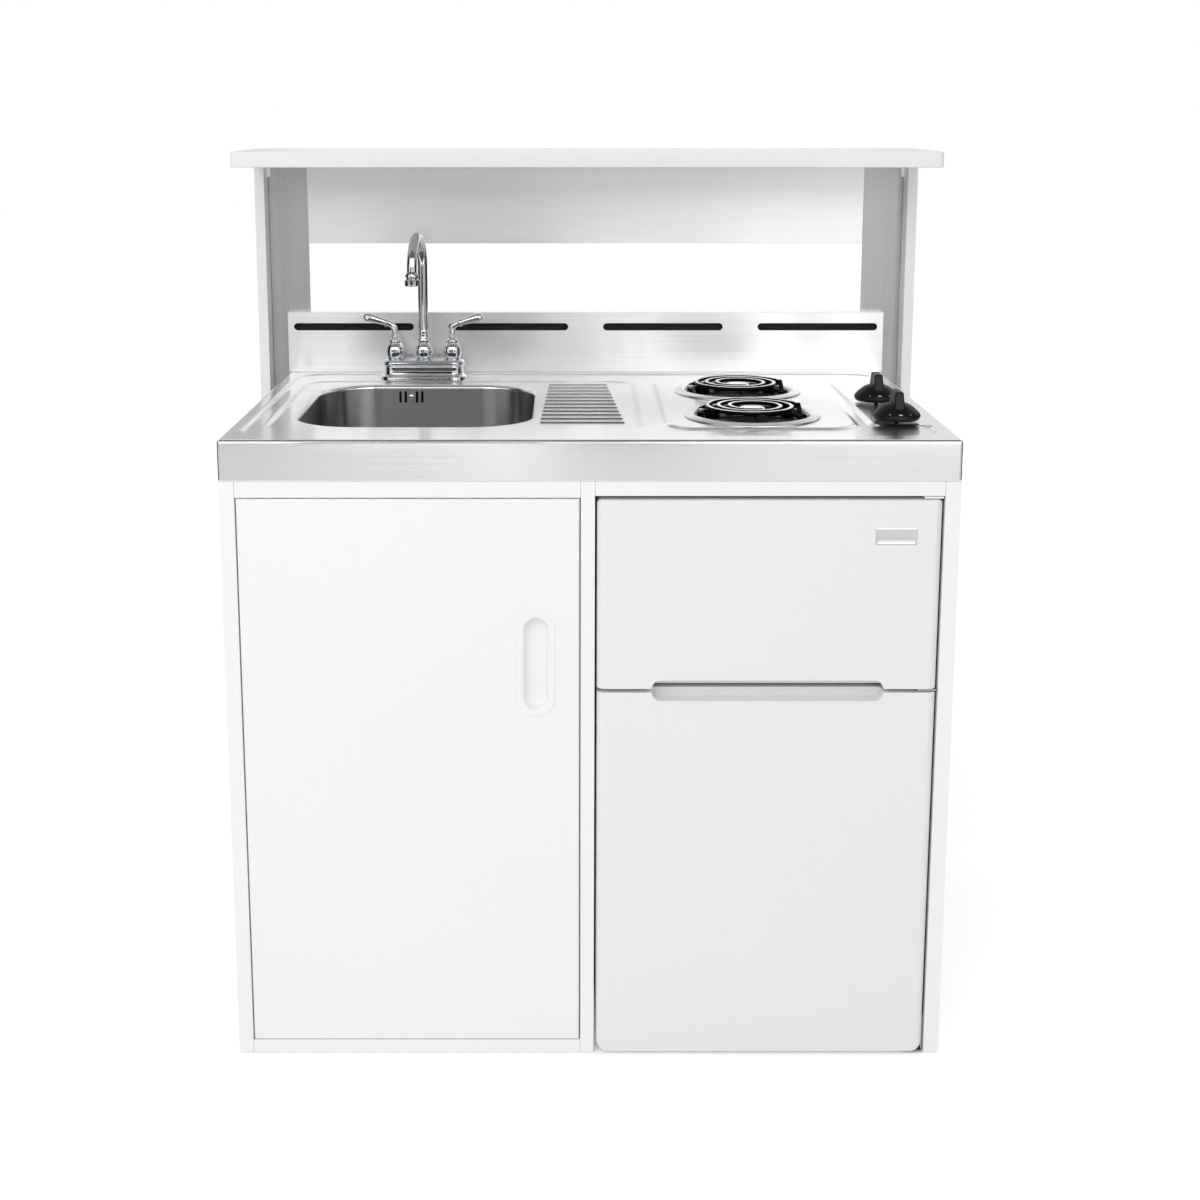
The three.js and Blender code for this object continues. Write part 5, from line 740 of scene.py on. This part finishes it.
# ---------------------------------------------------------------- Cupboard door and its pull
# A folded steel pan with the same coat, turning on a pin at each end of its left edge. The pull is a
# cup moulded in white polypropylene, with a soft even gloss, whose lip lies round a hole in the door.
fit(softened("cabinet_door", "cupboard_door_pan", powder_coat, 0.7), "cupboard_door", "white_steel",
    "cabinet_door")

white_moulding = mottled("polypropylene, moulded white", "#f2f2f2", "#f6f6f6", 25.0, roughness=0.38)
PULL = box_corners(-17, 17, -65, 65, 16.9)
PULL_X, PULL_Z, PULL_WALL, DOOR_FACE = -72.5, 574, 1.4, 336
PULL_FLANK = [(-9, 0.3), (-8.8, 0.9), (-7.8, 1.2), (-3, 1.3), (-1, 1.1), (0, 0.2), (0.6, -2), (1.6, -8),
              (3.2, -11.8), (6.5, -13.8), (10, -14.4)]
bm = bmesh.new()
rings = [ring(bm, outline(PULL, inset, 10), DOOR_FACE + out) for inset, out in flow(PULL_FLANK, 3)]
skin(bm, rings)
flat(bm, rings[-1])
turn_to_face_front(bm, PULL_X, PULL_Z)
pull = to_piece(bm, "recessed_pull", white_moulding)
if sum(face.normal.y * face.area for face in pull.data.polygons) > 0:
    pull.data.flip_normals()
thicken(pull, "wall", PULL_WALL)
fit(pull, "cupboard_door", "white_plastic", "door_pull_cup")
for node in ("door_pivot_upper", "door_pivot_lower"):
    paint(node, zinc)


# ---------------------------------------------------------------- Trap and overflow pipe
# Under the bowl, a trap moulded in white polypropylene, and an overflow box and pipe painted black as painted
# shade behind the bowl's overflow slots; both keep their CAD shapes. They show through the open door and the
# hole in the back.
paint("waste_trap", white_moulding)
# Painted shade: the overflow pipe takes the knobs' black so that the bowl's overflow slots look into dark.
paint("overflow_pipe", abs_black)


# ---------------------------------------------------------------- Refrigerator
# Two doors of pre-coated steel over foam, with a faint 2 mm pebble, rounded along their sides, and a
# scooped grip where they meet. The case behind is moulded white, with soft grey gaskets and glass shelves.
door_coat, tree, shader = new_finish("pre-coated steel, white semi gloss", roughness=0.3)
place = add(tree, "ShaderNodeTexCoord").outputs["Object"]
pebble = add(tree, "ShaderNodeTexVoronoi", {"Scale": 520.0, "feature": "SMOOTH_F1"}, {"Vector": place})
tint = add(tree, "ShaderNodeTexNoise", {"Scale": 1.8, "Detail": 1.0}, {"Vector": place})
tone = add(tree, "ShaderNodeMix", {"data_type": "RGBA", 6: linear("#ebebeb"), 7: linear("#efefef")},
           {0: tint.outputs["Fac"]})
bump = add(tree, "ShaderNodeBump", {"Strength": 0.12, "Distance": 0.0002},
           {"Height": pebble.outputs["Distance"]})
tree.links.new(tone.outputs[2], shader.inputs["Base Color"])
tree.links.new(bump.outputs["Normal"], shader.inputs["Normal"])

# The gasket is dull and rubbery, the liner glossy, the glass clear with a green cast, the paint uneven.
gasket_rubber = mottled("soft PVC gasket, light grey", "#c9cccf", "#d8dadc", 80.0, roughness=0.6)
liner = mottled("polystyrene liner, gloss white", "#eceeef", "#f3f5f5", 6.0, roughness=0.28)
glass = mottled("toughened glass, faint green", "#dff0ea", "#e9f6f1", 12.0, roughness=0.02,
                transmission_weight=0.95, ior=1.5)
black_paint = mottled("black stove paint", "#0e0e0f", "#1c1c1e", 30.0, roughness=0.5)

PLATE_X, PLATE_Z, PLATE_FLOOR = 410, 753, 339.3
POCKET = box_corners(-28, 28, -11.5, 11.5, 2)
PLATE = box_corners(-27.7, 27.7, -11.2, 11.2, 1.8)
PLATE_FLANK = [(0, 0), (0, 0.4), (0.3, 0.6), (2.2, 0.6), (2.5, 0.4), (2.8, 0.35)]
freezer_panel = softened("freezer_door", "freezer_door_panel", door_coat, 1.6, 3)
pocket = bmesh.new()
prism(pocket, outline(POCKET, 0, 4), 339.2, 341)
turn_to_face_front(pocket, PLATE_X, PLATE_Z)
cut_away(freezer_panel, pocket)
fit(freezer_panel, "freezer_door", "fridge_white", "freezer_door")
bm = bmesh.new()
rings = [ring(bm, outline(PLATE, inset, 4), PLATE_FLOOR + out) for inset, out in PLATE_FLANK]
skin(bm, rings)
flat(bm, rings[0])
flat(bm, rings[-1])
turn_to_face_front(bm, PLATE_X, PLATE_Z)
fit(to_piece(bm, "blank_plate", steel_polished), "freezer_door", "stainless")
fit(softened("fridge_door", "fridge_door_panel", door_coat, 1.6, 3), "fridge_door", "fridge_white",
    "fridge_door")
fit(softened("fridge_case", "fridge_case_shell", liner, 0.8), "base", "liner_white", "fridge_case")
fit(softened("door_rack", "bottle_rack", white_moulding, 0.8), "fridge_door", "white_plastic", "door_rack")
fit(softened("thermostat_dial", "thermostat_knob", white_moulding, 0.8), "thermostat_dial", "white_plastic",
    "thermostat_dial")
for node, material in (("hinge_top", powder_coat), ("hinge_middle", zinc), ("hinge_bottom", zinc),
                       ("freezer_gasket", gasket_rubber), ("fridge_gasket", gasket_rubber),
                       ("fridge_shelf_lower", glass), ("fridge_shelf_upper", glass),
                       ("compressor", black_paint), ("fridge_foot_left", abs_black),
                       ("fridge_foot_right", abs_black)):
    paint(node, material)


# ---------------------------------------------------------------- Shelf frame
# Laminated white boards for the sides and the shelf, and two folded posts and a valance of brushed
# stainless sheet between them. The shelf's edges are banded and its front corners rounded.
laminate, tree, shader = new_finish("melamine laminate, white", roughness=0.4)
place = add(tree, "ShaderNodeTexCoord").outputs["Object"]
paper = add(tree, "ShaderNodeTexNoise", {"Scale": 700.0, "Detail": 2.0}, {"Vector": place}).outputs["Fac"]
tone = add(tree, "ShaderNodeMix", {"data_type": "RGBA", 6: linear("#ececeb"), 7: linear("#f2f2f1")},
           {0: paper})
bump = add(tree, "ShaderNodeBump", {"Strength": 0.08, "Distance": 0.0001}, {"Height": paper})
tree.links.new(tone.outputs[2], shader.inputs["Base Color"])
tree.links.new(bump.outputs["Normal"], shader.inputs["Normal"])
# The posts' steel has a darker base colour than the top's: painted shade for the shade they stand in under the
# shelf.
post_steel_painted_shade = brushed_steel("stainless sheet, brushed upright, with painted shade", "#cccdcf", "#bfc0c2", (0.3, 0.4),
                                along=2, across=(1, 0, 0))
for node in ("riser_side_left", "riser_side_right", "riser_shelf"):
    fit(softened(node, f"{node}_board", laminate, 0.8), "base", "white_board", node)
for node in ("riser_post_left", "riser_post_right"):
    fit(softened(node, f"{node}_sheet", post_steel_painted_shade), "base", "stainless", node)
fit(softened("riser_valance", "riser_valance_sheet", steel_splash), "base", "stainless", "riser_valance")


# ---------------------------------------------------------------- Studio
# A white floor and sky and one broad soft lamp. Boards and soft boxes out of the camera's view are seen
# in reflections alone, as a photographer sets them up to give polished steel its light and dark bands.
def board(name, corners, strength):
    """A flat board that is seen in reflections alone."""
    bm = bmesh.new()
    bm.faces.new([bm.verts.new(corner) for corner in corners])
    mesh = bpy.data.meshes.new(name)
    bm.to_mesh(mesh)
    bm.free()
    made = bpy.data.objects.new(name, mesh)
    bpy.context.scene.collection.objects.link(made)
    material = bpy.data.materials.new(name)
    material.use_nodes = True
    material.node_tree.nodes.clear()
    glow = add(material.node_tree, "ShaderNodeEmission",
               {"Color": (strength, strength, strength, 1), "Strength": 1.0})
    add(material.node_tree, "ShaderNodeOutputMaterial", links={"Surface": glow.outputs[0]})
    mesh.materials.append(material)
    made.visible_camera = made.visible_diffuse = made.visible_shadow = made.visible_transmission = False


# Upright boards across the view: name, left, right, distance, foot and head in metres, and strength. The
# low ones are what the apron and the backsplash mirror, and the high ones what their brushing smears.
for name, x0, x1, y, z0, z1, strength in (
        ("grey board low left", -3.2, -0.55, -4.2, -0.45, 0.2, 0.45),
        ("pale board low centre", -0.55, 0.9, -4.22, -0.45, 0.2, 1.15),
        ("grey board low right", 0.9, 3.2, -4.2, -0.45, 0.2, 0.4),
        ("bright board mid left", -0.9, -0.12, -4.2, 0.24, 0.75, 1.5),
        ("grey board mid centre", -0.12, 0.4, -4.2, 0.2, 0.75, 0.12),
        ("grey board high left", -2.4, -0.9, -4.2, 0.8, 1.5, 0.2),
        ("pale board right", 0.9, 3.4, -4.25, 0.2, 1.6, 1.25),
        ("black strip before the tap", -0.85, -0.35, -4.15, 0.02, 0.24, 0.0),
        ("black flag left", -3.2, -1.7, -4.15, 0.2, 1.95, 0.0),
        ("black flag right", 1.8, 3.2, -4.15, 0.2, 1.95, 0.0),
        ("black card before the tap", -0.43, -0.07, -0.55, 0.9, 1.03, 0.0),
        ("bright board behind", -1.6, 1.6, 3.4, 0.9, 2.3, 1.3),
        ("grey board behind", -1.6, 1.6, 3.35, 1.27, 1.4, 0.3),
        ("grey board behind left", -1.7, -0.98, 3.3, 0.9, 2.3, 0.45),
        ("grey board behind right", 0.98, 1.7, 3.3, 0.9, 2.3, 0.8),
        ("black board over the eye", -0.9, 0.33, -4.2, 1.6, 3.3, 0.05)):
    board(name, [(x0, y, z0), (x1, y, z0), (x1, y, z1), (x0, y, z1)], strength)

# Soft boxes lean over the boards and light the top's reflections. Black boards stand at the sides.
for name, x0, x1, strength in (
        ("left", -3.0, -0.72, 2.5), ("centre", -0.34, -0.14, 3.0), ("right", 0.33, 3.0, 3.0)):
    board(f"soft box {name}", [(x0, -4.1, 1.95), (x1, -4.1, 1.95), (x1, -3.1, 3.9), (x0, -3.1, 3.9)],
          strength)
board("grey ceiling", [(-3, -2.4, 3.2), (3, -2.4, 3.2), (3, 1.3, 3.2), (-3, 1.3, 3.2)], 0.16)
for name, side in (("left", -1), ("right", 1)):
    for place, x0, y0, x1, y1, top in (
            ("side", 2.6, -0.9, 2.6, 1.0, 3.0), ("rear", 2.6, 1.0, 1.7, 2.9, 1.45)):
        near, far = (side * x0, y0), (side * x1, y1)
        board(f"black board {place} {name}", [(*near, -0.4), (*far, -0.4), (*far, top), (*near, top)], 0.0)

# The floor keeps the unit's shadow, glows a little to the camera, and looks a plain pale grey to the metal.
FLOOR_HALF, FLOOR_DROP, FLOOR_GLOW = 20, 0.0005, 0.25
WHITE = (1, 1, 1, 1)
floor_mesh = bmesh.new()
bmesh.ops.create_grid(floor_mesh, x_segments=1, y_segments=1, size=FLOOR_HALF)
mesh = bpy.data.meshes.new("floor")
floor_mesh.to_mesh(mesh)
floor_mesh.free()
floor = bpy.data.objects.new("floor", mesh)
floor.location.z = -FLOOR_DROP
bpy.context.scene.collection.objects.link(floor)
floor_paint = bpy.data.materials.new("white studio floor")
floor_paint.use_nodes = True
tree = floor_paint.node_tree
tree.nodes.clear()
seen = add(tree, "ShaderNodeLightPath")
pale = add(tree, "ShaderNodeBsdfDiffuse", {"Color": linear("#f4f4f4")})
grey = add(tree, "ShaderNodeBsdfDiffuse", {"Color": linear("#e4e4e4")})
plain = add(tree, "ShaderNodeMixShader",
            links={0: seen.outputs["Is Glossy Ray"], 1: pale.outputs[0], 2: grey.outputs[0]})
lit = add(tree, "ShaderNodeBsdfDiffuse", {"Color": WHITE})
glow = add(tree, "ShaderNodeEmission", {"Color": WHITE, "Strength": FLOOR_GLOW})
shown = add(tree, "ShaderNodeAddShader", links={0: lit.outputs[0], 1: glow.outputs[0]})
direct = add(tree, "ShaderNodeMath", {"operation": "MAXIMUM"},
             {0: seen.outputs["Is Camera Ray"], 1: seen.outputs["Is Transmission Ray"]})
mixed = add(tree, "ShaderNodeMixShader",
            links={0: direct.outputs[0], 1: plain.outputs[0], 2: shown.outputs[0]})
add(tree, "ShaderNodeOutputMaterial", links={"Surface": mixed.outputs[0]})
mesh.materials.append(floor_paint)

# The sky is pure white to the eye, in metal and through glass, and lights the unit a little less.
SKY_LIGHT = 0.76
world = bpy.data.worlds.new("studio")
bpy.context.scene.world = world
world.use_nodes = True
tree = world.node_tree
tree.nodes.clear()
seen = add(tree, "ShaderNodeLightPath")
direct = add(tree, "ShaderNodeMath", {"operation": "MAXIMUM"},
             {0: seen.outputs["Is Camera Ray"], 1: seen.outputs["Is Glossy Ray"]})
direct = add(tree, "ShaderNodeMath", {"operation": "MAXIMUM"},
             {0: direct.outputs[0], 1: seen.outputs["Is Transmission Ray"]})
soft = add(tree, "ShaderNodeBackground", {"Color": WHITE, "Strength": SKY_LIGHT})
white = add(tree, "ShaderNodeBackground", {"Color": WHITE, "Strength": 1.0})
mixed = add(tree, "ShaderNodeMixShader",
            links={0: direct.outputs[0], 1: soft.outputs[0], 2: white.outputs[0]})
add(tree, "ShaderNodeOutputWorld", links={"Surface": mixed.outputs[0]})

# The lamp itself is hidden from the metal, which mirrors the soft boxes in its place.
UNIT_CENTRE = Vector((0, 0, 0.7))
key = bpy.data.lights.new("soft key", "AREA")
key.shape = "RECTANGLE"
key.size, key.size_y = 3.2, 2.2
key.energy = 55
key_object = bpy.data.objects.new("soft key", key)
key_object.visible_glossy = False
key_object.location = (-1.4, -3.6, 3.0)
key_object.rotation_euler = (UNIT_CENTRE - key_object.location).to_track_quat("-Z", "Y").to_euler()
bpy.context.scene.collection.objects.link(key_object)

bpy.context.scene.view_settings.view_transform = "Standard"


# ---------------------------------------------------------------- Camera
# At the photograph's eye: 2.28 m in front of the top's edge and 1.31 m up. It looks a little down with
# a small shift, because the photograph's level view with a large one would cut off the other sides' views.
LOOK_DOWN = 10.7
camera = bpy.data.cameras.new("camera")
camera.lens = 52.5
camera.shift_x = 0.026
camera.shift_y = -0.13
camera_object = bpy.data.objects.new("camera", camera)
camera_object.location = (-0.028, -2.615, 1.309)
camera_object.rotation_euler = (math.radians(90 - LOOK_DOWN), 0, 0)
bpy.context.scene.collection.objects.link(camera_object)
bpy.context.scene.camera = camera_object
